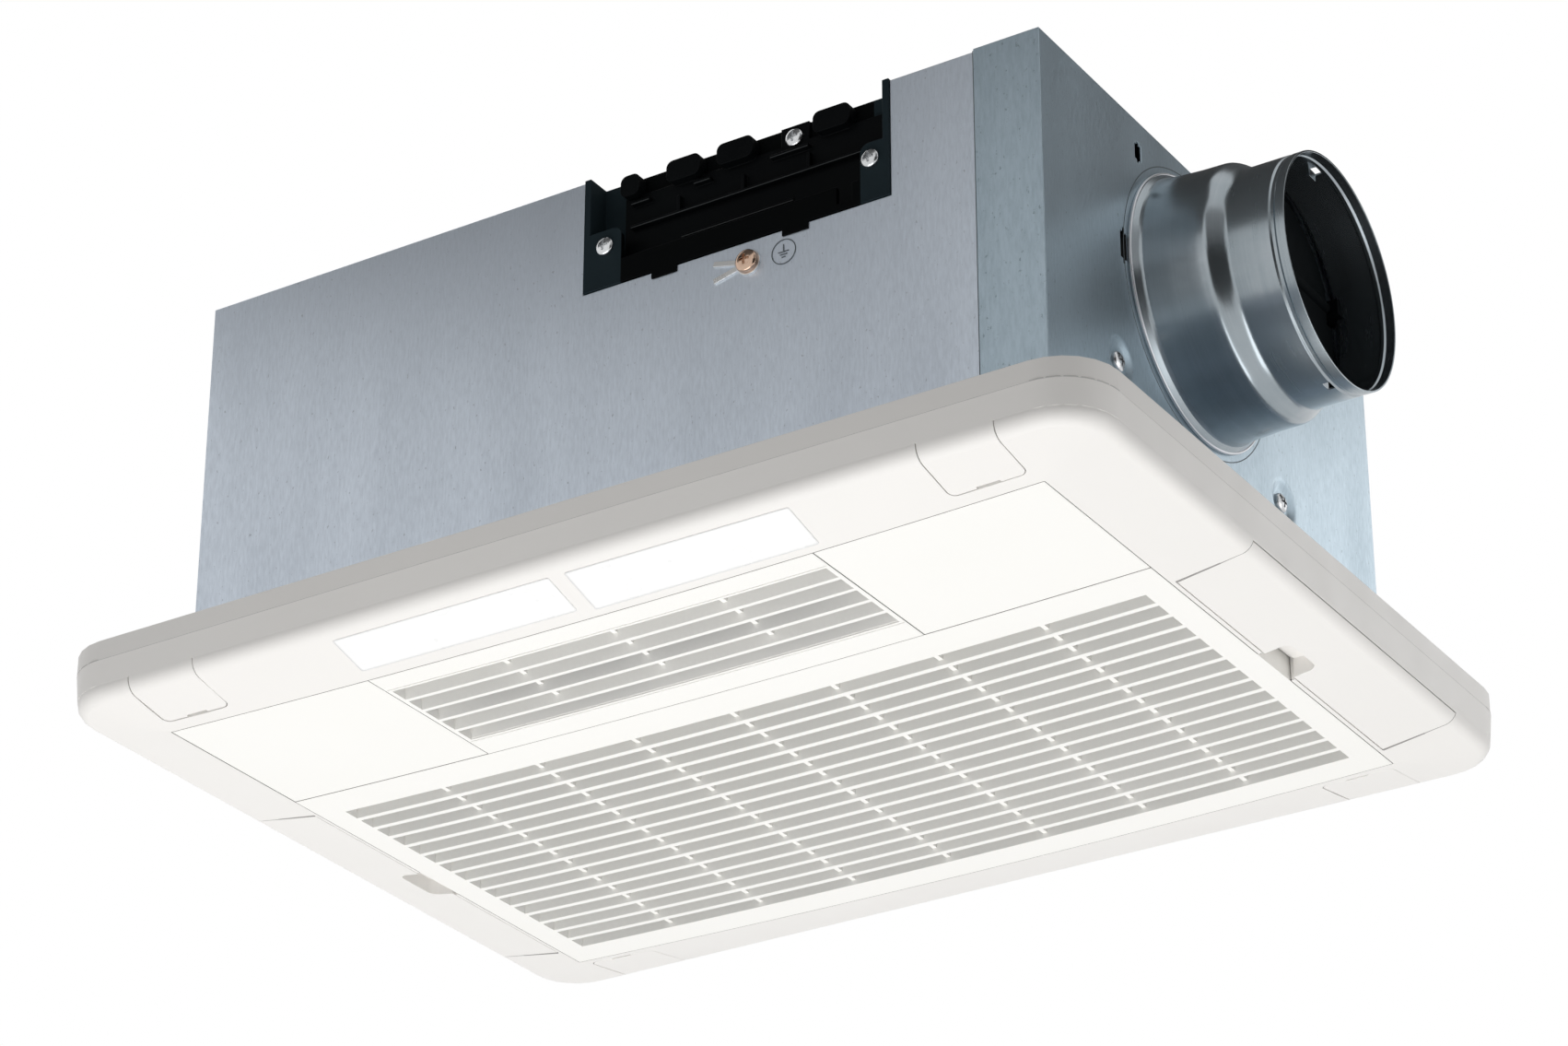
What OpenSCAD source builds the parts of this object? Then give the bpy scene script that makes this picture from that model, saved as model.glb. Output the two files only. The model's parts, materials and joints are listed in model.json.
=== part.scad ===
// Ceiling fan heater for a bathroom: a galvanised casing above the ceiling, a moulded panel below it.
// Origin: centre of the ceiling cut-out, on the ceiling plane. Z is up, the duct leaves towards +X,
// and the terminal box faces -Y. The panel hangs below zero.

/* [Casing] */
// Length of the casing along X
casing_w = 400; // [392:1:404]
// Depth of the casing along Y
casing_d = 279; // [277:1:282]
// Height of the casing above the ceiling
casing_h = 170; // [168:1:190]
// How far the casing's walls reach below the ceiling
casing_skirt = 11; // [6:0.5:13]
// Thickness of the galvanised sheet
sheet_t = 0.8; // [0.6:0.1:1]
// Lap of the duct end plate round the casing's corners
end_lap = 29; // [18:1:40]
// Flange of the far end plate inside the casing
far_lap = 14; // [8:1:20]

/* [Mounting frame] */
// Thickness of the mounting frame
frame_t = 1.2; // [1:0.1:1.6]
// Gap between the mounting frame and the panel's inner wall, at the ends
frame_gap_x = 2; // [1:0.5:4]
// The same gap in front and behind
frame_gap_y = 2.5; // [1:0.5:4]
// Spacing of the ceiling screw holes along X
mount_x = 432; // [426:1:438]
// Spacing of the ceiling screw holes along Y
mount_y = 240; // [180:1:260]
// Radius of a ceiling screw hole
mount_r = 2.75; // [2.2:0.05:3.2]

/* [Panel] */
// How far the panel reaches past the casing at either end
panel_lap_x = 37.5; // [37:0.5:40]
// How far the panel reaches past the casing in front and behind
panel_lap_y = 40.5; // [40:0.5:43]
// Corner radius of the panel in plan
panel_corner_r = 24; // [18:1:30]
// Height of the proud band next to the ceiling
band_h = 8.5; // [6:0.5:12]
// How far the band stands proud of the wall
band_step = 1; // [0.6:0.1:1.4]
// Height of the rim down to its rounded edge
rim_h = 26.3; // [25:0.1:28]
// Radius of the rounded lower edge
edge_r = 6.5; // [5:0.5:8]
// Depth of the panel's face below the ceiling, at the middle
panel_drop = 33.5; // [33:0.1:36]
// Rise of the crowned face from the middle to the ends of the opening
crown_rise = 2.9; // [1.5:0.1:3.5]
// Wall thickness of the moulded panel
skin_t = 2.5; // [2:0.1:3]
// How far the panel's opening reaches past the casing at either end
opening_side = 1.2; // [0.6:0.1:2]
// The same in front
opening_lap_front = 8; // [7:0.5:9]
// The same behind
opening_lap_back = 2.8; // [2.5:0.1:4]
// Height of the wall round the opening
lip_h = 12; // [9:0.5:13]
// Thickness of the wall round the opening
lip_t = 1.6; // [1.2:0.1:1.8]
// Width of the seams between moulded pieces
seam = 0.4; // [0.3:0.05:0.6]

/* [Front strip] */
// Depth of the front strip, from the front edge of the opening
strip_d = 81.4; // [79:0.2:84]
// Lower face of the deck that carries the front strip, below the ceiling
deck_z = 27.8; // [27.2:0.1:28]
// Thickness of the deck
deck_t = 2; // [1.5:0.1:2.5]
// Length of the outlet grille
outlet_w = 205; // [202:0.5:207]
// Border beside the outlet's slots
outlet_border = 2.2; // [2:0.1:6]
// Border in front of the outlet's slots
outlet_border_front = 13.2; // [12:0.2:15]
// Border behind the outlet's slots
outlet_border_back = 14.9; // [13:0.1:17]
// Number of outlet slots
outlet_rows = 5; // [4:1:6]
// Thickness of an outlet slat at its face
outlet_slat = 2; // [1.6:0.1:2.6]
// Depth of the outlet slats
outlet_depth = 9; // [8:0.5:10]
// Number of tie ribs across the outlet
outlet_ties = 3; // [2:1:5]

/* [Intake grille] */
// Border beside the intake's slots
intake_border = 12.4; // [10:0.2:16]
// Border in front of the intake's slots
intake_border_front = 18.3; // [16:0.1:20]
// Border behind the intake's slots
intake_border_back = 15.7; // [14:0.1:18]
// Number of intake slots
intake_rows = 16; // [12:1:18]
// Thickness of an intake slat at its face
intake_slat = 2.8; // [2.2:0.1:3.4]
// Thickness of an intake slat at its top
intake_slat_top = 1.6; // [1.2:0.1:2]
// How far a slat leans towards the front at its top
intake_lean = 2; // [0:0.5:3]
// Number of tie ribs across the intake
intake_ties = 7; // [3:1:9]
// Thickness of a tie rib
tie_t = 2; // [1.4:0.1:2.6]
// How far the tie ribs sit above the face
tie_recess = 2.3; // [1.5:0.1:3]
// Height of the tie ribs
tie_h = 5; // [3:0.5:6]
// Top of the grille, below the ceiling
grille_top = 19; // [18:0.5:20]
// Skin of the grille's border
grille_skin = 2.4; // [2:0.1:3]

/* [Side trims] */
// Front end of a side trim, in front of the centre
trim_front = 50; // [46:1:54]
// Distance from the back end of a side trim to the back edge of the opening
trim_back_gap = 14.3; // [10:0.1:20]
// Thickness of a side trim
trim_t = 2.1; // [1.8:0.1:2.2]
// Angle on the rounded edge where a trim ends
trim_arc_deg = 22; // [15:1:40]
// Length of the finger notch
notch_l = 25; // [20:1:30]
// Width of the finger notch
notch_w = 10.5; // [8:0.5:12]
// Place of the finger notch, behind the centre
notch_y = 35.5; // [30:1:45]
// Top of the finger notch, below the ceiling
notch_top = 22; // [21.4:0.1:22.4]

/* [Corner caps] */
// Width of a corner cap
cap_w = 32; // [28:1:34]
// Distance from the middle of a cap to the end of the panel
cap_inset = 55.5; // [53:0.5:59]
// Depth of the front caps, from the edge of the panel
cap_front_d = 26; // [24:0.5:27]
// Depth of the back caps, from the edge of the panel
cap_back_d = 33; // [30:0.5:33.5]
// Thickness of a cap
cap_t = 1.8; // [1.5:0.1:2.2]
// Corner radius of a cap
cap_r = 3; // [2:0.5:4]
// Length of the prying slot
pry_l = 10; // [8:1:12]
// Floor of the screw pocket, below the ceiling
pocket_z = 15; // [13:0.5:15.5]
// Distance from the panel screws to the edge of the panel
screw_inset = 17; // [15:0.5:18]

/* [Duct collar] */
// Place of the duct along Y
duct_y = -15.6; // [-18:0.2:-14]
// Distance from the duct's centre to the top of the casing
duct_drop = 66.2; // [64:0.2:68]
// Outer radius of the spigot
spigot_r = 49; // [48:0.1:49.5]
// Outer radius of the collar's body
body_r = 53.4; // [52:0.2:54]
// Outer radius of the collar's root flange
root_r = 57.8; // [56.5:0.2:60]
// Wall of the collar
collar_t = 0.8; // [0.6:0.1:1]
// Length of the collar
collar_l = 63; // [60:1:66]
// Start of the collar's shoulder
shoulder_start = 30; // [26:0.5:31]
// End of the collar's shoulder
shoulder_end = 39.5; // [37:0.5:40]

/* [Terminal box] */
// Left side of the terminal box
terminal_left = -10; // [-14:1:0]
// Right side of the terminal box
terminal_right = 133.2; // [128:1:136]
// Height of the terminal box
terminal_h = 53; // [50:1:56]
// Depth of the terminal recess
terminal_depth = 11; // [10:0.5:13]
// Wall of the terminal box
terminal_t = 3; // [2.4:0.1:3.4]

/* [Fans] */
// Place of the circulation fan along X
circ_x = -98; // [-100:1:-96]
// Distance from the circulation fan's axis to the back of the casing
circ_inset = 93.5; // [92.5:0.5:95.5]
// Outer radius of the circulation fan's wheel
circ_r = 52; // [48:0.5:53]
// Place of the exhaust fan along X
exh_x = 112; // [110:1:116]
// Outer radius of the exhaust fan's wheel
exh_r = 42; // [40:0.5:43]
// Number of blades on the circulation wheel
circ_blades = 36; // [24:1:40]
// Number of blades on the exhaust wheel
exh_blades = 30; // [20:1:36]
// Thickness of the fan housings' walls
scroll_t = 1.2; // [1:0.1:1.4]

/* [Heater] */
// Lower face of the heater above the ceiling
heater_z = 8; // [6:0.5:12]
// Height of the heater's frame
heater_h = 26; // [22:0.5:30]
// Number of fin rows in the heater
fin_rows = 4; // [3:1:5]
// Number of folds in a fin row
fin_folds = 60; // [40:1:70]

/* [Hidden] */

// One overrun serves every cut
over = 2;
// Fineness of true curves and of curves drawn as short flats
$fn = 64;
corner_steps = 6;
side_steps = 12;
round_steps = 5;

// Faces of the casing
half_w = casing_w / 2;
half_d = casing_d / 2;
panel_w = casing_w + 2 * panel_lap_x;
panel_d = casing_d + 2 * panel_lap_y;
opening_w = casing_w + 2 * opening_side;
opening_front = half_d + opening_lap_front;
opening_back = half_d + opening_lap_back;
divider_y = opening_front - strip_d;
outlet_field_w = outlet_w - 2 * outlet_border;
outlet_front = opening_front - outlet_border_front;
outlet_back = divider_y + outlet_border_back;
intake_field_w = opening_w - 2 * intake_border;
intake_front = divider_y - intake_border_front;
intake_back = opening_back - intake_border_back;
trim_back = opening_back - trim_back_gap;
cap_x = panel_w / 2 - cap_inset;
cap_front = panel_d / 2 - cap_front_d;
cap_back = panel_d / 2 - cap_back_d;
panel_screw_y = panel_d / 2 - screw_inset;
frame_w = panel_w - 2 * (band_step + skin_t + frame_gap_x);
frame_d = panel_d - 2 * (band_step + skin_t + frame_gap_y);
circ_y = half_d - circ_inset;
duct_z = casing_h - duct_drop;
terminal_low = casing_h - terminal_h;
wrap_half_d = half_d - sheet_t;
wrap_top = casing_h - sheet_t;
end_in = half_w - sheet_t;
wrap_in_d = wrap_half_d - sheet_t;
wrap_in_top = wrap_top - sheet_t;

// Running, seating and clearance gaps
seat_gap = 0.3;
shaft_gap = 0.05;

// Screws: head radius, head height, shank radius
pan_head_r = 4.2;
pan_head_h = 2.6;
pan_shank_r = 1.9;
cross_w = 1.1;
cross_l = 4.6;
cross_depth = 1.5;

// End plate screws and their dimples
dimple_r = 11;
dimple_flat_r = 5;
dimple_depth = 2.4;
end_screw_l = 8;
end_screw_z = 51.5;
end_screw_front = -81;
end_screw_back = 55.4;

// Punched slots in the duct end plate: place along Y, height, width, length
slot_high_drop = 14.8;
slot_low_drop = 65;
slot_spots = [[-60.7, casing_h - slot_high_drop, 5, 7], [-75.7, casing_h - slot_low_drop, 5.6, 12]];
slot_nick_share = 0.35;

function crown_z(x) = -panel_drop + crown_rise * pow(2 * x / opening_w, 2);

// Rounded edge of the rim: where it starts and ends
rim_flat = rim_h - edge_r;
edge_sweep = 76;
edge_inset = band_step + edge_r * (1 - cos(edge_sweep));
edge_low = -(rim_flat + edge_r * sin(edge_sweep));

module span(x0, x1, y0, y1, z0, z1)
  translate([x0, y0, z0]) cube([x1 - x0, y1 - y0, z1 - z0]);

function arc_points(cx, cy, r, start, sweep, steps) =
  [for (i = [0:steps]) [cx + r * cos(start + sweep * i / steps), cy + r * sin(start + sweep * i / steps)]];

function round_rect(x0, x1, y0, y1, r) = concat(
  arc_points(x1 - r, y1 - r, r, 0, 90, round_steps),
  arc_points(x0 + r, y1 - r, r, 90, 90, round_steps),
  arc_points(x0 + r, y0 + r, r, 180, 90, round_steps),
  arc_points(x1 - r, y0 + r, r, 270, 90, round_steps));

// A block with rounded upright edges
module soft_span(x0, x1, y0, y1, z0, z1, r)
  translate([0, 0, z0]) linear_extrude(height = z1 - z0) polygon(round_rect(x0, x1, y0, y1, r));

// An outline in the YZ plane carried along X from x0 to x1
module along_x(x0, x1, points)
  translate([x0, 0, 0]) rotate([90, 0, 90]) linear_extrude(height = x1 - x0) polygon(points);

// An outline in the XZ plane carried along Y from y0 to y1
module along_y(y0, y1, points)
  translate([0, y1, 0]) rotate([90, 0, 0]) linear_extrude(height = y1 - y0) polygon(points);

function crown_points(x0, x1, lift) =
  [for (i = [0:side_steps]) let (x = x0 + (x1 - x0) * i / side_steps) [x, crown_z(x) + lift]];

// A slab whose lower face follows the crowned face of the panel, lifted by low, with a parallel top
module crown_slab(x0, x1, y0, y1, low, high)
  along_y(y0, y1, concat(crown_points(x0, x1, low), crown_points(x1, x0, high)));

// The same with a flat top at height z
module crown_block(x0, x1, y0, y1, low, z)
  along_y(y0, y1, concat(crown_points(x0, x1, low), [[x1, z], [x0, z]]));

// Pan head screw with a cross recess, its head towards +Z and its shank down from zero
module pan_screw(head_r, head_h, shank_r, shank_l) {
  dome = [for (i = [0:round_steps]) let (a = 90 * i / round_steps)
    [head_r * cos(a), head_h * (1 + 2 * sin(a)) / 3]];
  difference() {
    union() {
      rotate_extrude() polygon(concat([[0, 0], [head_r, 0]], dome));
      translate([0, 0, -shank_l]) cylinder(r = shank_r, h = shank_l + head_h / 3);
    }
    for (turn = [0, 90]) rotate(turn)
      span(-cross_l / 2, cross_l / 2, -cross_w / 2, cross_w / 2, head_h - cross_depth, head_h + over);
  }
}

module casing_wrap() color("#aeb6bc") difference() {
  span(-half_w, end_in, -wrap_half_d, wrap_half_d, -casing_skirt, wrap_top);
  span(-half_w - over, half_w + over, -wrap_in_d, wrap_in_d, -casing_skirt - over, wrap_in_top);
  span(terminal_left, terminal_right, -half_d - over, -half_d + terminal_depth + terminal_t,
    terminal_low, casing_h + over);
}

// Shallow dished screw seat in the sheet, its mouth at zero and its floor towards -Z
module screw_dish() rotate_extrude() polygon([
  [pan_shank_r + shaft_gap, -dimple_depth], [dimple_flat_r, -dimple_depth], [dimple_r, 0],
  [dimple_r, -sheet_t], [dimple_flat_r, -dimple_depth - sheet_t],
  [pan_shank_r + shaft_gap, -dimple_depth - sheet_t]]);

module duct_hole_slot(w, h, depth) {
  span(-w / 2, w / 2, -h / 2, h / 2, -depth, depth);
  span(-w * slot_nick_share / 2, w * slot_nick_share / 2, -h * (1 + slot_nick_share) / 2,
    h * (1 + slot_nick_share) / 2, -depth, depth);
}

module end_plate_duct() color("#a6afb6") {
  difference() {
    span(half_w - end_lap, half_w, -half_d, half_d, -casing_skirt, casing_h);
    span(half_w - end_lap - over, end_in, -wrap_half_d, wrap_half_d, -casing_skirt - over, wrap_top);
    translate([end_in - over, duct_y, duct_z]) rotate([0, 90, 0])
      cylinder(r = body_r, h = sheet_t + 2 * over);
    for (spot = slot_spots) translate([half_w, spot[0], spot[1]]) rotate([90, 0, 90])
      duct_hole_slot(spot[2], spot[3], over);
    for (y = [end_screw_front, end_screw_back]) translate([end_in - over, y, end_screw_z])
      rotate([0, 90, 0]) cylinder(r = dimple_r, h = sheet_t + 2 * over);
  }
  for (y = [end_screw_front, end_screw_back])
    translate([half_w, y, end_screw_z]) rotate([0, 90, 0]) screw_dish();
}

module end_plate_far() color("#a6afb6") {
  difference() {
    span(-half_w, -half_w + far_lap, -wrap_in_d, wrap_in_d, -casing_skirt, wrap_in_top);
    span(-half_w + sheet_t, half_w, -wrap_in_d + sheet_t, wrap_in_d - sheet_t,
      -casing_skirt - over, wrap_in_top - sheet_t);
    for (y = [end_screw_front, end_screw_back]) translate([-half_w - over, y, end_screw_z])
      rotate([0, 90, 0]) cylinder(r = dimple_r, h = sheet_t + 2 * over);
  }
  for (y = [end_screw_front, end_screw_back])
    translate([-half_w, y, end_screw_z]) rotate([0, -90, 0]) screw_dish();
}

module end_plate_screws() color("silver") for (side = [1, -1], y = [end_screw_front, end_screw_back])
  translate([side * (half_w - dimple_depth), y, end_screw_z]) rotate([0, side * 90, 0])
    pan_screw(pan_head_r, pan_head_h, pan_shank_r, end_screw_l);

// Flat ring against the ceiling with a leg down along the casing
frame_open_w = half_w + seat_gap;
frame_open_d = half_d + seat_gap;
frame_leg = 10;
frame_corner_r = 20;
module mounting_frame() color("#b4bbc0") difference() {
  union() {
    soft_span(-frame_w / 2, frame_w / 2, -frame_d / 2, frame_d / 2, -frame_t, 0, frame_corner_r);
    span(-frame_open_w - frame_t, frame_open_w + frame_t, -frame_open_d - frame_t, frame_open_d + frame_t,
      -frame_leg, -frame_t / 2);
  }
  span(-frame_open_w, frame_open_w, -frame_open_d, frame_open_d, -frame_leg - over, over);
  for (x = [-mount_x / 2, mount_x / 2], y = [-mount_y / 2, mount_y / 2])
    translate([x, y, -frame_t - over]) cylinder(r = mount_r, h = frame_t + 2 * over);
  for (x = [-cap_x, cap_x], y = [-panel_screw_y, panel_screw_y])
    translate([x, y, -frame_t - over]) cylinder(r = pan_shank_r + shaft_gap, h = frame_t + 2 * over);
}

// Duct collar: radius of the outer face at a distance h from the casing
function collar_radius(h) =
  h < shoulder_start ? body_r + (root_flare * pow(1 - h / shoulder_start, 2))
  : h > shoulder_end ? spigot_r
  : spigot_r + (body_r - spigot_r) * (1 + cos(180 * (h - shoulder_start) / (shoulder_end - shoulder_start))) / 2;
root_flare = 1.8;
root_t = 1.4;
root_fillet = 2.4;
groove_at = 57.8;
groove_w = 1.4;
groove_depth = 0.6;
tab_at = 53;
tab_w = 5.5;
tab_l = 2.8;
tab_t = 1.2;
shoulder_steps = 8;
collar_stations = concat([root_t + root_fillet, shoulder_start / 3, shoulder_start * 2 / 3],
  [for (i = [0:shoulder_steps]) shoulder_start + (shoulder_end - shoulder_start) * i / shoulder_steps]);
groove_stations = [[groove_at - groove_w, 0], [groove_at - groove_w / 2, groove_depth],
  [groove_at + groove_w / 2, groove_depth], [groove_at + groove_w, 0], [collar_l, 0]];
function collar_wall(inset) = concat(
  [for (h = collar_stations) [collar_radius(h) - inset, h]],
  [for (g = groove_stations) [spigot_r - g[1] - inset, g[0]]]);
function reversed(list) = [for (i = [len(list) - 1:-1:0]) list[i]];

module duct_tab(side) translate([tab_at, 0, 0])
  span(-tab_t / 2, tab_t / 2, -tab_w / 2, tab_w / 2,
    side > 0 ? spigot_r - collar_t - tab_l : -spigot_r + collar_t / 2,
    side > 0 ? spigot_r - collar_t / 2 : -spigot_r + collar_t + tab_l);

module duct_collar() color("#9aa3a9") translate([half_w, duct_y, duct_z]) {
  difference() {
    rotate([0, 90, 0]) rotate_extrude() polygon(concat(
      [[root_r, 0], [root_r, root_t / 2], [root_r - root_t / 2, root_t]],
      collar_wall(0), reversed(collar_wall(collar_t)), [[collar_radius(0) - collar_t - root_flare / 2, 0]]));
    for (side = [1, -1]) translate([tab_at + tab_t / 2 + tab_l / 2, 0, side * spigot_r])
      cube([tab_l, tab_w, 4 * collar_t], center = true);
  }
  for (side = [1, -1]) duct_tab(side);
}

// Foam ring between the casing's end plate and the flange of the exhaust fan's housing
gasket_r = 55;
gasket_w = 5;
dish_back = half_w - dimple_depth - sheet_t;
module duct_gasket() color("#2b2b2b") translate([dish_back, duct_y, duct_z]) rotate([0, 90, 0])
  difference() {
    cylinder(r = gasket_r + gasket_w / 2, h = end_in - dish_back);
    translate([0, 0, -over]) cylinder(r = gasket_r - gasket_w / 2, h = end_in - dish_back + 2 * over);
  }

// Back-draught shutter: a disc hung above its middle on a cross spindle
flap_reach = 36;
flap_x = half_w + flap_reach;
flap_up = 12;
flap_r = 46.8;
flap_t = 1.5;
spindle_r = 1.2;
flap_tube_r = 2.6;
bracket_half_x = 5.4;
bracket_half_z = 3.4;
bracket_in = 42.6;
bracket_skin_gap = 0.02;
flap_notch = 7.6;
flap_side_gap = 0.6;
spigot_in = spigot_r - collar_t;

// The brackets' backs follow the collar's inner wall
module shutter_brackets() color("#9aa3a9") translate([0, duct_y, duct_z]) difference() {
  intersection() {
    translate([half_w, 0, 0]) rotate([0, 90, 0]) rotate_extrude()
      polygon(concat([[0, collar_stations[0]]],
        [for (h = collar_stations) [collar_radius(h) - collar_t - bracket_skin_gap, h]],
        [[spigot_in - bracket_skin_gap, collar_l], [0, collar_l]]));
    for (side = [1, -1]) translate([flap_x, side * (bracket_in + body_r) / 2, flap_up])
      cube([2 * bracket_half_x, body_r - bracket_in, 2 * bracket_half_z], center = true);
  }
  translate([flap_x, 0, flap_up]) rotate([90, 0, 0])
    cylinder(r = spindle_r + shaft_gap, h = 2 * (spigot_r + over), center = true);
}

module shutter_flap() color("#202224") translate([flap_x, duct_y, duct_z]) difference() {
  union() {
    difference() {
      rotate([0, 90, 0]) cylinder(r = flap_r, h = flap_t, center = true);
      for (side = [1, -1]) translate([0, side * (bracket_in - flap_side_gap + spigot_r) / 2, flap_up])
        cube([2 * flap_t, spigot_r - bracket_in + flap_side_gap, 2 * flap_notch], center = true);
    }
    translate([0, 0, flap_up]) rotate([90, 0, 0])
      cylinder(r = flap_tube_r, h = 2 * (bracket_in - flap_side_gap), center = true);
  }
  translate([0, 0, flap_up]) rotate([90, 0, 0])
    cylinder(r = spindle_r + shaft_gap / 2, h = 2 * (bracket_in + over), center = true);
}

spindle_end = 46;
module shutter_spindle() color("silver") translate([flap_x, duct_y, duct_z + flap_up])
  rotate([90, 0, 0]) cylinder(r = spindle_r, h = 2 * spindle_end, center = true);

// Terminal box: a black tray let into the top front edge, with a terminal block behind its ribs
tray_back = -half_d + terminal_depth;
ear_left_w = 18.3;
ear_right_w = 13.2;
ear_h = 26.5;
ear_top = terminal_low + ear_h;
ear_r = 4;
bar_h = 11;
bar_t = 2.4;
hook_w = 12;
hook_h = 3.2;
hook_spots = [29, 90];
ear_screw_up = 18.5;
ear_screw_z = terminal_low + ear_screw_up;
ear_left_share = 0.6;
ear_right_share = 0.64;
ear_screws = [terminal_left + ear_left_w * ear_left_share, terminal_right - ear_right_w * ear_right_share];
bar_notch_x = 109;
bar_notch_w = 7;
bar_notch_up = 3;
terminal_screw_l = 6;
tray_gap = 0.2;

module terminal_tray() color("#1d2022") {
  left = terminal_left + tray_gap;
  right = terminal_right - tray_gap;
  low = terminal_low + tray_gap;
  difference() {
    span(left, right, -half_d, tray_back + terminal_t - tray_gap, low, casing_h);
    span(left + terminal_t, right - terminal_t, -half_d - over, tray_back, low + bar_t, casing_h + over);
  }
  difference() {
    union() {
      span(left, right, -half_d, -half_d + bar_t, low, low + bar_h);
      along_y(-half_d, -half_d + bar_t, round_rect(left, left + ear_left_w, low, ear_top, ear_r));
      along_y(-half_d, -half_d + bar_t, round_rect(right - ear_right_w, right, low, ear_top, ear_r));
    }
    span(bar_notch_x, bar_notch_x + bar_notch_w, -half_d - over, -half_d + bar_t + over,
      low + bar_notch_up, low + bar_h + over);
    for (x = ear_screws) translate([x, -half_d - over, ear_screw_z]) rotate([-90, 0, 0])
      cylinder(r = pan_shank_r + shaft_gap, h = bar_t + 2 * over);
  }
  for (x = hook_spots)
    span(x - hook_w / 2, x + hook_w / 2, -half_d, -wrap_half_d, low - hook_h, low + bar_h / 2);
}

ridge_up = 29;
ridge_z = terminal_low + ridge_up;
ridge_low_z = terminal_low + ear_screw_up;
ridge_t = 1.4;
ridge_reach = 4;
upright_spots = [31, 61.4, 92];
upright_h = 7.5;
shelf_spots = [[8, 17], [38, 46], [74, 92]];
shelf_up = 40;
shelf_z = terminal_low + shelf_up;
tab_blocks = [[4, 9], [26, 16], [50, 17], [95, 17]];
tab_block_h = 8.6;
tab_block_depth = 5.6;
tab_block_r = 3;
block_left = 4;
block_right = 127;
clamp_up = 46.5;
clamp_screw = [84.4, terminal_low + clamp_up];
clamp_lug_w = 13;
module terminal_block() color("#17191b") {
  face = tray_back - tray_gap;
  span(clamp_screw[0] - clamp_lug_w / 2, clamp_screw[0] + clamp_lug_w / 2, face - ridge_t, face,
    casing_h - tab_block_h - ridge_t, casing_h - seat_gap);
  span(block_left + ridge_reach, block_right, face - ridge_reach, face, ridge_z - ridge_t / 2, ridge_z + ridge_t / 2);
  span(upright_spots[0], upright_spots[2] - ridge_reach * 2, face - ridge_reach / 2, face,
    ridge_low_z - ridge_t / 2, ridge_low_z + ridge_t / 2);
  span(block_left, block_right, face - ridge_t, face, ridge_low_z - bar_h, casing_h - tab_block_h);
  for (x = upright_spots)
    span(x - ridge_t / 2, x + ridge_t / 2, face - ridge_reach, face, ridge_z, ridge_z + upright_h);
  for (s = shelf_spots)
    span(s[0], s[1], face - ridge_reach, face, shelf_z - ridge_t / 2, shelf_z + ridge_t / 2);
  for (b = tab_blocks)
    along_y(face - tab_block_depth, face, round_rect(b[0], b[0] + b[1], casing_h - tab_block_h - ridge_t,
      casing_h - seat_gap, tab_block_r));
}

block_screw_seat = tray_back - tray_gap - ridge_t;
terminal_head_r = 4;
module terminal_screws() color("silver") {
  for (x = ear_screws) translate([x, -half_d, ear_screw_z]) rotate([90, 0, 0])
    pan_screw(terminal_head_r, pan_head_h, pan_shank_r, terminal_screw_l);
  translate([clamp_screw[0], block_screw_seat, clamp_screw[1]]) rotate([90, 0, 0])
    pan_screw(terminal_head_r, pan_head_h, pan_shank_r, 0);
}

earth_x = 68.4;
earth_drop = 9.7;
earth_z = terminal_low - earth_drop;
earth_head_r = 5;
earth_head_h = 3.4;
clip_t = 0.8;
clip_l = 11;
clip_w = 2.2;
clip_washer_r = 5.4;
clip_spread = 14;
module earth_clip() color("silver") translate([earth_x, -wrap_half_d, earth_z]) rotate([90, 0, 0]) difference() {
  union() {
    cylinder(r = clip_washer_r, h = clip_t);
    for (turn = [180 - clip_spread, 180 + clip_spread]) rotate(turn)
      span(0, clip_washer_r + clip_l, -clip_w / 2, clip_w / 2, 0, clip_t);
  }
  translate([0, 0, -over]) cylinder(r = pan_shank_r + shaft_gap, h = clip_t + 2 * over);
}
module earth_screw() color("#b08a5a") translate([earth_x, -wrap_half_d - clip_t, earth_z])
  rotate([90, 0, 0]) pan_screw(earth_head_r, earth_head_h, pan_shank_r, clip_t - shaft_gap);

// Outline of the panel at one level: half width, front, back, corner radius
function side_points(x0, x1, y) = [for (i = [1:side_steps - 1]) [x0 + (x1 - x0) * i / side_steps, y]];
function outline(a, f, b, r) = concat(
  arc_points(a - r, b - r, r, 0, 90, corner_steps), side_points(a - r, r - a, b),
  arc_points(r - a, b - r, r, 90, 90, corner_steps),
  arc_points(r - a, r - f, r, 180, 90, corner_steps), side_points(r - a, a - r, -f),
  arc_points(a - r, r - f, r, 270, 90, corner_steps));
// A level is a half width, front, back, corner radius, height at the middle and share of the crown
function level_points(level) = [for (p = outline(level[0], level[1], level[2], level[3]))
  [p[0], p[1], level[4] + level[5] * crown_rise * pow(2 * p[0] / opening_w, 2)]];
function rim_level(inset, z) =
  [panel_w / 2 - inset, panel_d / 2 - inset, panel_d / 2 - inset, panel_corner_r - inset, z, 0];
function lip_level(out, lift) =
  [opening_w / 2 + out, opening_front + out, opening_back + out, lip_corner + out, -panel_drop + lift, 1];
lip_corner = 0.6;

// Levels joined in a closed ring make the moulded shell
module level_loft(levels) {
  points = [for (level = levels) each level_points(level)];
  n = len(points) / len(levels);
  m = len(levels);
  faces = [for (j = [0:m - 1], i = [0:n - 1])
    let (a = j * n + i, b = j * n + (i + 1) % n,
      c = ((j + 1) % m) * n + (i + 1) % n, d = ((j + 1) % m) * n + i)
    each [[a, b, c], [a, c, d]]];
  polyhedron(points = points, faces = faces);
}

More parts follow.
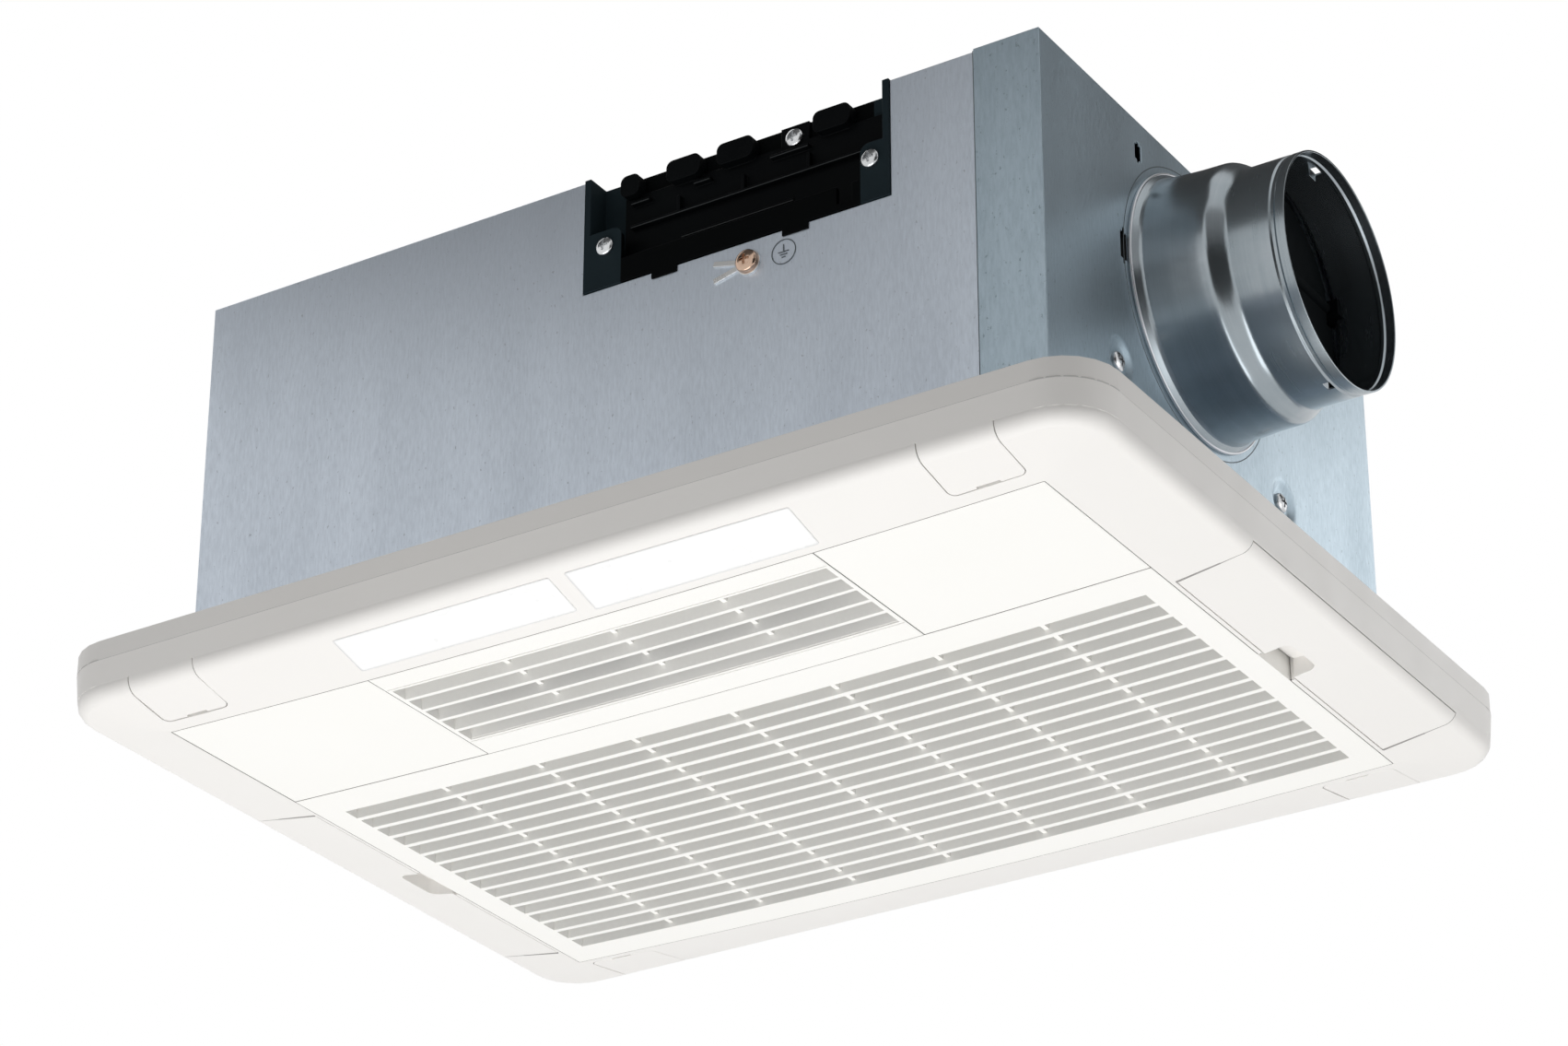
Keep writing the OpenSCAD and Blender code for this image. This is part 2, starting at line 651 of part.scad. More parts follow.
edge_steps = 5;
edge_in_steps = 2;
inner_edge_r = edge_r - skin_t;
function edge_level(r, i, steps) = let (a = edge_sweep * i / steps)
  rim_level(band_step + edge_r - r * cos(a), -(rim_flat + r * sin(a)));
module panel_shell() level_loft(concat(
  [rim_level(0, 0), rim_level(0, -band_h), rim_level(band_step, -band_h)],
  [for (i = [0:edge_steps]) edge_level(edge_r, i, edge_steps)],
  [lip_level(0, 0), lip_level(0, lip_h), lip_level(lip_t, lip_h), lip_level(lip_t, skin_t)],
  [for (i = [edge_in_steps:-1:0]) edge_level(inner_edge_r, i, edge_in_steps)],
  [rim_level(band_step + skin_t, 0)]));

// Height of the sloping border along the long sides, y measured outwards from its inner edge
function border_z(x, y, y_in) = let (y_out = panel_d / 2 - edge_inset, s = (y_out - y) / (y_out - y_in))
  edge_low * (1 - s) + crown_z(x) * s;
// The same along the short sides
function end_border_z(x) = let (x_out = panel_w / 2 - edge_inset, s = (x_out - x) / (x_out - opening_w / 2))
  edge_low * (1 - s) + crown_z(opening_w / 2) * s;

// Corner cap: the piece of the panel's own surface that it fills, as a skin of thickness t
cap_top = 18.7;
function cap_section(x, y_cap, y_in, inset) = concat(
  [[x, y_cap, border_z(x, y_cap, y_in) + inset]],
  [for (i = [edge_steps:-1:0]) let (a = edge_sweep * i / edge_steps)
    [x, panel_d / 2 - band_step - edge_r + (edge_r - inset) * cos(a), -(rim_flat + (edge_r - inset) * sin(a))]],
  [[x, panel_d / 2 - band_step - inset, -cap_top]]);
module cap_skin(y_cap, y_in, t) {
  xs = [cap_x - cap_w / 2, cap_x, cap_x + cap_w / 2];
  rows = [for (x = xs) concat(cap_section(x, y_cap, y_in, 0), reversed(cap_section(x, y_cap, y_in, t)))];
  k = len(rows[0]);
  h = k / 2;
  points = [for (row = rows) each row];
  sides = [for (j = [0:1], i = [0:k - 1]) let (a = j * k + i, b = j * k + (i + 1) % k)
    each [[a, b + k, b], [a, a + k, b + k]]];
  ends = [for (i = [0:h - 2]) each [
    [i, i + 1, k - 2 - i], [i, k - 2 - i, k - 1 - i],
    [2 * k + i + 1, 2 * k + i, 2 * k + k - 1 - i], [2 * k + i + 1, 2 * k + k - 1 - i, 2 * k + k - 2 - i]]];
  polyhedron(points = points, faces = concat(sides, ends));
}

cap_leg_t = 1.6;
cap_leg_w = 7;
cap_leg_x = 11;
cap_leg_y = 164;
pry_w = 1;
pry_depth = 1.2;
module corner_cap(y_cap, y_in) {
  difference() {
    intersection() {
      cap_skin(y_cap, y_in, cap_t);
      soft_span(cap_x - cap_w / 2, cap_x + cap_w / 2, y_cap, panel_d / 2 + cap_w, -panel_drop - over, 0, cap_r);
    }
    span(cap_x - pry_l / 2, cap_x + pry_l / 2, y_cap - over, y_cap + pry_w,
      -panel_drop - over, border_z(cap_x, y_cap, y_in) + pry_depth);
  }
  for (side = [-1, 1]) {
    x = cap_x + side * cap_leg_x;
    span(x - cap_leg_t / 2, x + cap_leg_t / 2, cap_leg_y - cap_leg_w / 2, cap_leg_y + cap_leg_w / 2,
      border_z(x, cap_leg_y, y_in) + cap_t / 2, -pocket_z - seat_gap);
  }
}
module cap_at(flip_x, flip_y) color("#f4f3ee") mirror([flip_x, 0, 0]) mirror([0, flip_y, 0])
  corner_cap(flip_y == 1 ? cap_front : cap_back, flip_y == 1 ? opening_front : opening_back);
module corner_cap_fl() cap_at(1, 1);
module corner_cap_fr() cap_at(0, 1);
module corner_cap_bl() cap_at(1, 0);
module corner_cap_br() cap_at(0, 0);

// Screw pocket under a cap: its cavity, and the walls and boss round it
pocket_t = 1.6;
boss_r = 6.5;
module cap_cut(y_cap) {
  soft_span(cap_x - cap_w / 2 - seam, cap_x + cap_w / 2 + seam, y_cap - seam, panel_d / 2 + cap_w,
    -panel_drop - over, -cap_top + seam, cap_r + seam);
}
module cap_pocket(y_cap, y_in) {
  x0 = cap_x - cap_w / 2 - seam - pocket_t;
  x1 = cap_x + cap_w / 2 + seam + pocket_t;
  y0 = y_cap - seam - pocket_t;
  y1 = panel_d / 2 - band_step - skin_t / 2;
  y_edge = panel_d / 2 - edge_inset - skin_t / 2;
  mid = skin_t / 2;
  wall = [[y0, -pocket_z], [y0, border_z(x0, y0, y_in) + mid], [y_edge, edge_low + mid],
    [y1, -rim_flat - edge_r / 3], [y1, -pocket_z]];
  span(x0, x1, y0, y1, -pocket_z, -pocket_z + pocket_t);
  along_x(x0, x0 + pocket_t, wall);
  along_x(x1 - pocket_t, x1, wall);
  span(x0, x1, y0, y0 + pocket_t, border_z(x0, y0, y_in) + mid, -pocket_z + pocket_t);
  translate([cap_x, panel_screw_y, -pocket_z]) cylinder(r = boss_r, h = pocket_z - frame_t);
}

// Side trim: outline in XZ of the border between the opening and the rim
trim_in = opening_w / 2 + lip_t + seam;
function trim_line(inset, start_x, arc_end) = concat(
  [[start_x, end_border_z(start_x) + inset]],
  [for (i = [0:edge_steps]) let (a = edge_sweep + (arc_end - edge_sweep) * i / edge_steps)
    [panel_w / 2 - band_step - edge_r + (edge_r - inset) * cos(a), -(rim_flat + (edge_r - inset) * sin(a))]]);
seam_deg = 4;
module trim_strip(y0, y1, start_x, low, high, arc_end)
  along_y(y0, y1, concat(trim_line(low, start_x, arc_end), reversed(trim_line(high, start_x, arc_end))));

notch_wall = 1.2;
notch_r = 4;
notch_edge = trim_in + notch_w;
module notch_space(grow, z1) soft_span(trim_in - 2 * notch_r, notch_edge + grow, notch_y - notch_l / 2 - grow,
  notch_y + notch_l / 2 + grow, -panel_drop - over, z1, notch_r);

trim_bed_t = 1.4;
module side_trim() difference() {
  union() {
    trim_strip(-trim_front, trim_back, trim_in, 0, trim_t, trim_arc_deg);
    intersection() {
      notch_space(notch_wall, -notch_top + notch_wall);
      along_y(notch_y - notch_l, notch_y + notch_l, [[trim_in, end_border_z(trim_in) + trim_t / 2],
        [notch_edge + notch_wall, end_border_z(notch_edge + notch_wall) + trim_t / 2],
        [notch_edge + notch_wall, -notch_top + notch_wall], [trim_in, -notch_top + notch_wall]]);
    }
  }
  notch_space(0, -notch_top);
}
module side_trim_right() color("#f4f3ee") side_trim();
module side_trim_left() color("#f4f3ee") mirror([1, 0, 0]) side_trim();

// What the panel loses and gains for a side trim: a bed one skin deep, open at the notch
module trim_cut() {
  trim_strip(-trim_front - seam, trim_back + seam, trim_in - seam, -skin_t, trim_t + seam / 4,
    trim_arc_deg - seam_deg);
  notch_space(notch_wall + seam, -notch_top + notch_wall + seam);
}
module trim_bed() trim_strip(-trim_front - seam - skin_t, trim_back + seam + skin_t, opening_w / 2 + lip_t / 2,
  trim_t + seam / 4, trim_t + seam / 4 + trim_bed_t, trim_arc_deg - 2 * seam_deg);

outlet_hole_margin = 1;
outlet_hole_w = outlet_w - 2 * outlet_hole_margin;
module panel_frame() color("#f1f0ea") difference() {
  union() {
    panel_shell();
    for (fx = [0, 1], fy = [0, 1]) mirror([fx, 0, 0]) mirror([0, fy, 0])
      cap_pocket(fy == 1 ? cap_front : cap_back, fy == 1 ? opening_front : opening_back);
    for (fx = [0, 1]) mirror([fx, 0, 0]) trim_bed();
    span(-opening_w / 2 - lip_t / 2, opening_w / 2 + lip_t / 2, -opening_front - lip_t / 2,
      -divider_y + lip_t, -deck_z, -deck_z + deck_t);
    span(-opening_w / 2 - lip_t / 2, opening_w / 2 + lip_t / 2, -divider_y + seam, -divider_y + seam + lip_t,
      -deck_z, -grille_top);
  }
  for (fx = [0, 1], fy = [0, 1]) mirror([fx, 0, 0]) mirror([0, fy, 0]) {
    cap_cut(fy == 1 ? cap_front : cap_back);
    translate([cap_x, panel_screw_y, -pocket_z - over])
      cylinder(r = pan_shank_r + seat_gap, h = pocket_z + 2 * over);
  }
  for (fx = [0, 1]) mirror([fx, 0, 0]) trim_cut();
  span(-outlet_hole_w / 2, outlet_hole_w / 2, -opening_front + lip_t, -divider_y - lip_t,
    -deck_z - over, -deck_z + deck_t + over);
}

module panel_screws() color("silver") for (x = [-cap_x, cap_x], y = [-panel_screw_y, panel_screw_y])
  translate([x, y, -pocket_z]) rotate([180, 0, 0])
    pan_screw(pan_head_r, pan_head_h, pan_shank_r, pocket_z - seat_gap);

// Blank plates and the outlet grille share the front strip
plate_t = 2.2;
plate_rib = 2;
strip_front = -opening_front + seam;
strip_back = -divider_y - seam / 2;
module blank_plate() {
  x0 = outlet_w / 2 + seam / 2;
  x1 = opening_w / 2 - seam;
  crown_slab(x0, x1, strip_front, strip_back, 0, plate_t);
  difference() {
    crown_block(x0, x1, strip_front, strip_back, plate_t / 2, -deck_z);
    span(x0 + plate_rib, x1 - plate_rib, strip_front + plate_rib, strip_back - plate_rib,
      -panel_drop - over, -deck_z + over);
  }
}
module blank_plate_right() color("#fbfaf5") blank_plate();
module blank_plate_left() color("#fbfaf5") mirror([1, 0, 0]) blank_plate();

// Slats across a field: count slots leave count - 1 slats; each leans towards -Y at its top
module slat_rows(x0, x1, y0, y1, rows, face, top, lean, low, high) {
  pitch = (y1 - y0 + face) / rows;
  for (i = [1:rows - 1]) let (y = y0 + i * pitch - face)
    along_x(x0, x1, [[y, low], [y + face, low], [y + face - lean, high], [y + face - lean - top, high]]);
}
module tie_rows(half_field, y0, y1, count, t, low, high) {
  pitch = 2 * half_field / (count + 1);
  for (i = [1:count]) let (x = -half_field + i * pitch) span(x - t / 2, x + t / 2, y0, y1, low, high);
}

outlet_groove_depth = 0.5;
outlet_groove_gap = 1.2;
outlet_groove_w = 0.6;
outlet_slat_top = 1.4;
outlet_lean = 3;
outlet_tie_recess = 3.5;
module outlet_grille() color("#fbfaf5") {
  x1 = outlet_w / 2 - seam / 2;
  f = outlet_field_w / 2;
  top = -panel_drop + plate_t + outlet_depth;
  difference() {
    union() {
      crown_slab(-x1, x1, strip_front, strip_back, 0, plate_t);
      crown_block(-x1, x1, strip_front, strip_back, plate_t / 2, -deck_z);
    }
    span(-f, f, -outlet_front, -outlet_back, -panel_drop - over, over);
    span(-x1 + plate_rib, x1 - plate_rib, strip_front + plate_rib, -outlet_front - plate_rib,
      -panel_drop + crown_rise + plate_t, over);
    span(-x1 + plate_rib, x1 - plate_rib, -outlet_back + plate_rib, strip_back - plate_rib,
      -panel_drop + crown_rise + plate_t, over);
    for (y = [-outlet_front - outlet_groove_gap - outlet_groove_w, -outlet_back + outlet_groove_gap])
      crown_slab(-f - outlet_groove_gap, f + outlet_groove_gap, y, y + outlet_groove_w, -over, outlet_groove_depth);
  }
  difference() {
    crown_block(-outlet_hole_w / 2 + seam, outlet_hole_w / 2 - seam, -outlet_front - plate_rib,
      -outlet_back + plate_rib, plate_t / 2, top);
    span(-f, f, -outlet_front, -outlet_back, -panel_drop - over, over);
  }
  intersection() {
    crown_block(-f - seam, f + seam, -outlet_front - seam, -outlet_back + seam, 0, top);
    slat_rows(-f - seam, f + seam, -outlet_front, -outlet_back, outlet_rows, outlet_slat, outlet_slat_top,
      outlet_lean, -panel_drop - seam, top);
  }
  tie_rows(f, -outlet_front, -outlet_back - (outlet_front - outlet_back) / outlet_rows, outlet_ties, tie_t,
    -panel_drop + outlet_tie_recess, top - ridge_t);
}

// Intake grille: crowned border, deep leaning slats and recessed tie ribs
grille_wall = 1.8;
grille_half = opening_w / 2 - seam;
grille_front = -divider_y + 2 * seam + lip_t;
grille_face_front = -divider_y + seam / 2;
grille_back = opening_back - seam;
module intake_grille() color("#fbfaf5") {
  f = intake_field_w / 2;
  difference() {
    union() {
      crown_slab(-grille_half, grille_half, grille_face_front, grille_back, 0, grille_skin);
      crown_block(-grille_half, grille_half, grille_front, grille_back, grille_skin / 2, -grille_top);
    }
    difference() {
      crown_block(-grille_half + grille_wall, grille_half - grille_wall, grille_front + grille_wall,
        grille_back - grille_wall, grille_skin, over);
      span(-f - grille_wall, f + grille_wall, -intake_front - grille_wall, intake_back + grille_wall,
        -panel_drop - over, over * 2);
    }
    span(-f, f, -intake_front, intake_back, -panel_drop - over, over);
  }
  intersection() {
    crown_block(-f - seam, f + seam, -intake_front - seam, intake_back + seam, 0, -grille_top);
    slat_rows(-f - seam, f + seam, -intake_front, intake_back, intake_rows, intake_slat, intake_slat_top,
      intake_lean, -panel_drop - seam, -grille_top);
  }
  intersection() {
    crown_slab(-f, f, -intake_front - seam, intake_back + seam, tie_recess, tie_recess + tie_h);
    tie_rows(f, -intake_front - seam, intake_back + seam, intake_ties, tie_t, -panel_drop, over);
  }
}

// Washable filter lying on the intake grille
filter_rim = 5;
filter_h = 3.2;
filter_rib = 1.6;
filter_margin = 3;
net_t = 0.5;
filter_bays_x = 5;
filter_bays_y = 3;
filter_half = intake_field_w / 2 + filter_margin;
filter_front = -intake_front - filter_margin;
filter_back = intake_back + filter_margin;
module filter_frame() color("#d9dde0") {
  z0 = -grille_top;
  difference() {
    soft_span(-filter_half, filter_half, filter_front, filter_back, z0, z0 + filter_h, filter_rim);
    span(-filter_half + filter_rim, filter_half - filter_rim, filter_front + filter_rim,
      filter_back - filter_rim, z0 - over, z0 + filter_h + over);
  }
  for (i = [1:filter_bays_x - 1]) let (x = -filter_half + 2 * filter_half * i / filter_bays_x)
    span(x - filter_rib / 2, x + filter_rib / 2, filter_front + filter_rim / 2, filter_back - filter_rim / 2,
      z0 + net_t + seat_gap, z0 + filter_h);
  for (i = [1:filter_bays_y - 1]) let (y = filter_front + (filter_back - filter_front) * i / filter_bays_y)
    span(-filter_half + filter_rim / 2, filter_half - filter_rim / 2, y - filter_rib / 2, y + filter_rib / 2,
      z0 + net_t + seat_gap, z0 + filter_h);
}
module filter_net() color("#8d979c") span(-filter_half + filter_rim + shaft_gap, filter_half - filter_rim - shaft_gap,
  filter_front + filter_rim + shaft_gap, filter_back - filter_rim - shaft_gap,
  -grille_top + seat_gap / 2, -grille_top + seat_gap / 2 + net_t);

// Inner floor of the casing with the two fan inlets
floor_z = 4;
floor_t = 1;
floor_reach = 21;
floor_front = floor_reach - outlet_back;
floor_lip = 8;
circ_mouth_r = 43;
exh_mouth_r = 34;
mouth_flare = 7;
tongue_share = 0.866;
exh_gap = 5;
exh_scroll_r0 = exh_r + exh_gap;
exh_scroll_r1 = 88;
exh_y = duct_y + (exh_scroll_r0 * tongue_share + exh_scroll_r1) / 2;
module floor_mouth(r) rotate_extrude() polygon(concat(
  arc_points(r + mouth_flare, mouth_flare, mouth_flare - floor_t, 270, -90, round_steps),
  arc_points(r + mouth_flare, mouth_flare, mouth_flare, 180, 90, round_steps)));
module bellmouth_plate() color("#b4bbc0") {
  x1 = end_in - seat_gap;
  x0 = -half_w + sheet_t + seat_gap;
  y1 = wrap_in_d - sheet_t;
  translate([0, 0, floor_z]) difference() {
    span(x0, x1, floor_front, y1, 0, floor_lip);
    span(x0 + floor_t, x1 - floor_t, floor_front - over, y1 - floor_t, floor_t, floor_lip + over);
    translate([circ_x, circ_y, -over]) cylinder(r = circ_mouth_r + mouth_flare, h = 3 * over);
    translate([exh_x, exh_y, -over]) cylinder(r = exh_mouth_r + mouth_flare, h = 3 * over);
  }
  translate([circ_x, circ_y, floor_z]) floor_mouth(circ_mouth_r);
  translate([exh_x, exh_y, floor_z]) floor_mouth(exh_mouth_r);
}

// Fan housing: a spiral that opens from r0 to r1, then a straight mouth towards +X at its -Y side
spiral_start = -60;
spiral_sweep = 330;
spiral_steps = 44;
function spiral(r0, r1, t) = [for (i = [0:spiral_steps])
  let (s = i / spiral_steps, a = spiral_start + spiral_sweep * s, r = r0 + (r1 - r0) * s + t)
  [r * cos(a), r * sin(a)]];
module scroll_solid(r0, r1, run, t, z0, z1) translate([0, 0, z0]) {
  linear_extrude(height = z1 - z0) polygon(spiral(r0, r1, t));
  span(0, run, -r1 - t, -r0 * tongue_share + t, 0, z1 - z0);
}
module scroll_wall(r0, r1, run, t, z0, z1) difference() {
  scroll_solid(r0, r1, run, t, z0, z1);
  scroll_solid(r0, r1, run + over, 0, z0 - over, z1 + over);
}
circ_gap = 5;
circ_scroll_r0 = circ_r + circ_gap;
circ_scroll_r1 = 100;
circ_run = 68;
circ_low = floor_z + floor_t;
circ_top = 82;
circ_motor_r = 34;
motor_gap = 2;
module circ_place() translate([circ_x, circ_y, 0]) mirror([1, 0, 0]) rotate(-90) children();
module circulation_scroll() color("#c3c8cb") circ_place() {
  scroll_wall(circ_scroll_r0, circ_scroll_r1, circ_run, scroll_t, circ_low, circ_top);
  difference() {
    scroll_solid(circ_scroll_r0, circ_scroll_r1, circ_run, scroll_t, circ_top, circ_top + scroll_t);
    translate([0, 0, circ_top - over]) cylinder(r = circ_motor_r + motor_gap, h = scroll_t + 2 * over);
  }
}

exh_low = 55;
inlet_r = exh_mouth_r + floor_t + seat_gap;
exh_top_gap = 20;
exh_top = casing_h - exh_top_gap;
exh_motor_r = 27;
flange_t = 1.2;
flange_x = dish_back - flange_t;
exh_run = flange_x - exh_x;
flange_side = 12;
flange_top = 2;
module exhaust_scroll() color("#c3c8cb") {
  translate([exh_x, exh_y, 0]) {
    scroll_wall(exh_scroll_r0, exh_scroll_r1, exh_run, scroll_t, exh_low + scroll_t / 2, exh_top + scroll_t / 2);
    difference() {
      scroll_solid(exh_scroll_r0, exh_scroll_r1, exh_run, scroll_t, exh_low, exh_low + scroll_t);
      translate([0, 0, exh_low - over])
        cylinder(r = inlet_r + scroll_t + seat_gap, h = scroll_t + 2 * over);
    }
    difference() {
      scroll_solid(exh_scroll_r0, exh_scroll_r1, exh_run, scroll_t, exh_top, exh_top + scroll_t);
      translate([0, 0, exh_top - over]) cylinder(r = exh_motor_r + motor_gap, h = scroll_t + 2 * over);
    }
  }
  difference() {
    span(flange_x, dish_back, end_screw_front - flange_side, end_screw_back + flange_side,
      end_screw_z - flange_side, exh_top + scroll_t + flange_top);
    translate([flange_x - over, duct_y, duct_z]) rotate([0, 90, 0]) intersection() {
      cylinder(r = gasket_r - gasket_w, h = flange_t + 2 * over);
      span(duct_z - exh_top, duct_z - exh_low - scroll_t, exh_y - exh_scroll_r1 - duct_y,
        exh_y - exh_scroll_r0 * tongue_share - duct_y, -over, flange_t + 4 * over);
    }
    for (y = [end_screw_front, end_screw_back]) translate([flange_x - over, y, end_screw_z])
      rotate([0, 90, 0]) cylinder(r = pan_shank_r + shaft_gap, h = flange_t + 2 * over);
  }
}

inlet_flange = 8;
inlet_end = 4;
module exhaust_inlet() color("#c3c8cb") translate([exh_x, exh_y, circ_low]) rotate_extrude() polygon([
  [inlet_r + mouth_flare + inlet_flange, 0], [inlet_r + mouth_flare + inlet_flange, scroll_t],
  [inlet_r + mouth_flare + scroll_t, scroll_t], [inlet_r + scroll_t, mouth_flare],
  [inlet_r + scroll_t, exh_low + scroll_t + inlet_end - circ_low],
  [inlet_r, exh_low + scroll_t + inlet_end - circ_low], [inlet_r, mouth_flare], [inlet_r + mouth_flare, 0]]);

// Wheel with curved blades on both sides of its disc, and a stiffening ring at either end
blade_t = 0.8;
blade_steps = 4;
blade_sweep = 14;
blade_depth = 9;
disc_t = 1.2;
ring_lip = 0.5;
ring_h = 3;
hub_r = 7;
hub_h = 9;
shaft_r = 3;
function blade_side(r_in, r_out, t) = [for (i = [0:blade_steps]) let (s = i / blade_steps,
  r = r_in + (r_out - r_in) * s, a = blade_sweep * (s * s - s / 2)) [r * cos(a) - t * sin(a), r * sin(a) + t * cos(a)]];
module fan_wheel(r_out, blades, z0, z1, disc_z) {
  r_in = r_out - blade_depth;
  difference() {
    union() {
      for (i = [0:blades - 1], tier = [[z0 + ring_h, disc_z], [disc_z + disc_t, z1 - ring_h]])
        rotate(360 * i / blades) translate([0, 0, tier[0]]) linear_extrude(height = tier[1] - tier[0])
          polygon(concat(blade_side(r_in, r_out, 0), reversed(blade_side(r_in, r_out, blade_t))));
      for (z = [z0, z1 - ring_h]) translate([0, 0, z]) difference() {
        cylinder(r = r_out + ring_lip, h = ring_h);
        translate([0, 0, -over]) cylinder(r = r_in - ring_lip, h = ring_h + 2 * over);
      }
      translate([0, 0, disc_z]) cylinder(r = r_out + ring_lip, h = disc_t);
      translate([0, 0, disc_z + disc_t - hub_h]) cylinder(r = hub_r, h = hub_h);
    }
    translate([0, 0, z0 - over]) cylinder(r = shaft_r, h = z1 - z0 + 2 * over);
  }
}
module motor_can(r, low, seat, top) {
  difference() {
    union() {
      translate([0, 0, low]) cylinder(r = r, h = top - low);
      translate([0, 0, seat]) cylinder(r = r + motor_ear, h = motor_flange_t);
      translate([0, 0, low - motor_nose]) cylinder(r = motor_nose_r, h = motor_nose + seat_gap);
    }
    translate([0, 0, low - motor_nose - over]) cylinder(r = shaft_r + shaft_gap, h = bearing_depth + over);
  }
}
motor_ear = 9;
motor_flange_t = 1.6;
motor_nose = 3;
motor_nose_r = 9;
bearing_depth = 18;

circ_wheel_low = 15;
circ_wheel_high = 76;
circ_disc_z = 52;
circ_motor_low = 60;
circ_motor_top = 112;
module circulation_wheel() color("#2a2d30") translate([circ_x, circ_y, 0])
  fan_wheel(circ_r, circ_blades, circ_wheel_low, circ_wheel_high, circ_disc_z);
module circulation_motor() color("#7f878c") translate([circ_x, circ_y, 0])
  motor_can(circ_motor_r, circ_motor_low, circ_top + scroll_t, circ_motor_top);
module circulation_shaft() color("silver") translate([circ_x, circ_y, circ_disc_z + disc_t - hub_h - over])
  cylinder(r = shaft_r, h = circ_motor_low - motor_nose + bearing_depth - (circ_disc_z + disc_t - hub_h));

exh_wheel_low = 64;
exh_wheel_gap = 7;
exh_wheel_high = exh_top - exh_wheel_gap;
exh_disc_drop = 34;
exh_disc_z = exh_top - exh_disc_drop;
exh_motor_inset = 26;
exh_motor_low = exh_top - exh_motor_inset;
exh_motor_rise = 14;
exh_motor_top = exh_top + exh_motor_rise;
module exhaust_wheel() color("#2a2d30") translate([exh_x, exh_y, 0])
  mirror([0, 1, 0]) fan_wheel(exh_r, exh_blades, exh_wheel_low, exh_wheel_high, exh_disc_z);
module exhaust_motor() color("#7f878c") translate([exh_x, exh_y, 0])
  motor_can(exh_motor_r, exh_motor_low, exh_top + scroll_t, exh_motor_top);
module exhaust_shaft() color("silver") translate([exh_x, exh_y, exh_disc_z + disc_t - hub_h - over])
  cylinder(r = shaft_r, h = exh_motor_low - motor_nose + bearing_depth - (exh_disc_z + disc_t - hub_h));

// Outlet duct over the outlet grille, with the heater in it, and the passage from the circulation fan
duct_t = 1;
duct_front = -wrap_in_d;
duct_back_gap = 6;
duct_back = duct_back_gap - outlet_back;
duct_half = 99;
duct_low = -20.5;
duct_drop_top = 82;
duct_top = casing_h - duct_drop_top;
window_inset = 3;
window_gap = 14;
window_high = duct_top - window_inset;
window_low = heater_z + heater_h + window_gap;
window_half = 95;
module outlet_duct() color("#b4bbc0") difference() {
  span(-duct_half, duct_half, duct_front, duct_back, duct_low, duct_top);
  span(-duct_half + duct_t, duct_half - duct_t, duct_front + duct_t, duct_back - duct_t,
    duct_low - over, duct_top - duct_t);
  span(-window_half, window_half, duct_back - duct_t - over, duct_back + over, window_low, window_high);
}

mouth_in = circ_x + circ_scroll_r0 * tongue_share;
mouth_out = circ_x + circ_scroll_r1;
mouth_y = circ_y - circ_run;
module passage_end(x0, x1, y0, y1, z0, z1, grow) span(x0 - grow, x1 + grow, y0, y1, z0 - grow, z1 + grow);
module air_transition() color("#b4bbc0") difference() {
  hull() {
    passage_end(mouth_in, mouth_out, mouth_y - duct_t, mouth_y, circ_low + scroll_t, circ_top, scroll_t);
    passage_end(-window_half, window_half, duct_back, duct_back + duct_t, window_low, window_high, duct_t);
  }
  hull() {
    passage_end(mouth_in, mouth_out, mouth_y - duct_t, mouth_y + seat_gap, circ_low + scroll_t, circ_top, 0);
    passage_end(-window_half, window_half, duct_back - seat_gap, duct_back + duct_t, window_low, window_high, 0);
  }
}

heater_wall = 1.5;
heater_gap = 0.3;
heater_half = duct_half - duct_t - heater_gap;
heater_front = duct_front + duct_t + heater_gap;
heater_back = duct_back - duct_t - heater_gap;
heater_flange = 6;
module heater_frame() color("#d8cfb8") difference() {
  span(-heater_half, heater_half, heater_front, heater_back, heater_z, heater_z + heater_h);
  span(-heater_half + heater_flange, heater_half - heater_flange, heater_front + heater_wall,
    heater_back - heater_wall, heater_z - over, heater_z + heater_h + over);
}
core_half = heater_half - heater_flange - heater_gap;
core_front = heater_front + heater_wall + heater_gap;
core_back = heater_back - heater_wall - heater_gap;
bar_w = 3;
fin_pitch = (core_back - core_front - bar_w) / fin_rows;
fin_t = 1.4;
core_inset = 3;
module heater_bars() color("#8f969b") for (i = [0:fin_rows])
  span(-core_half, core_half, core_front + i * fin_pitch, core_front + i * fin_pitch + bar_w,
    heater_z + core_inset, heater_z + heater_h - core_inset);
// A zigzag between two bars, its folds as thick along Y as fin_t
function fold_line(y0, y1, shift) = [for (i = [0:fin_folds])
  [-core_half + bar_w + 2 * (core_half - bar_w) * i / fin_folds, shift + (i % 2 == 0 ? y0 : y1 - fin_t)]];
module heater_fins() color("#c9ced1") for (i = [0:fin_rows - 1]) {
  y0 = core_front + i * fin_pitch + bar_w + shaft_gap;
  y1 = core_front + (i + 1) * fin_pitch - shaft_gap;
  translate([0, 0, heater_z + core_inset + fin_t]) linear_extrude(height = heater_h - 2 * core_inset - 2 * fin_t)
    polygon(concat(fold_line(y0, y1, 0), reversed(fold_line(y0, y1, fin_t))));
}

cutout_r = 8;
cutout_h = 7;
cutout_x = [-60, 60];
cutout_z = 22;
cutout_flange = 13;
module thermal_cutouts() color("#d9d2c0") for (x = cutout_x) translate([x, duct_back, cutout_z]) {
  rotate([-90, 0, 0]) cylinder(r = cutout_r, h = cutout_h);
  span(-cutout_flange, cutout_flange, 0, duct_t, -cutout_r / 2, cutout_r / 2);
}

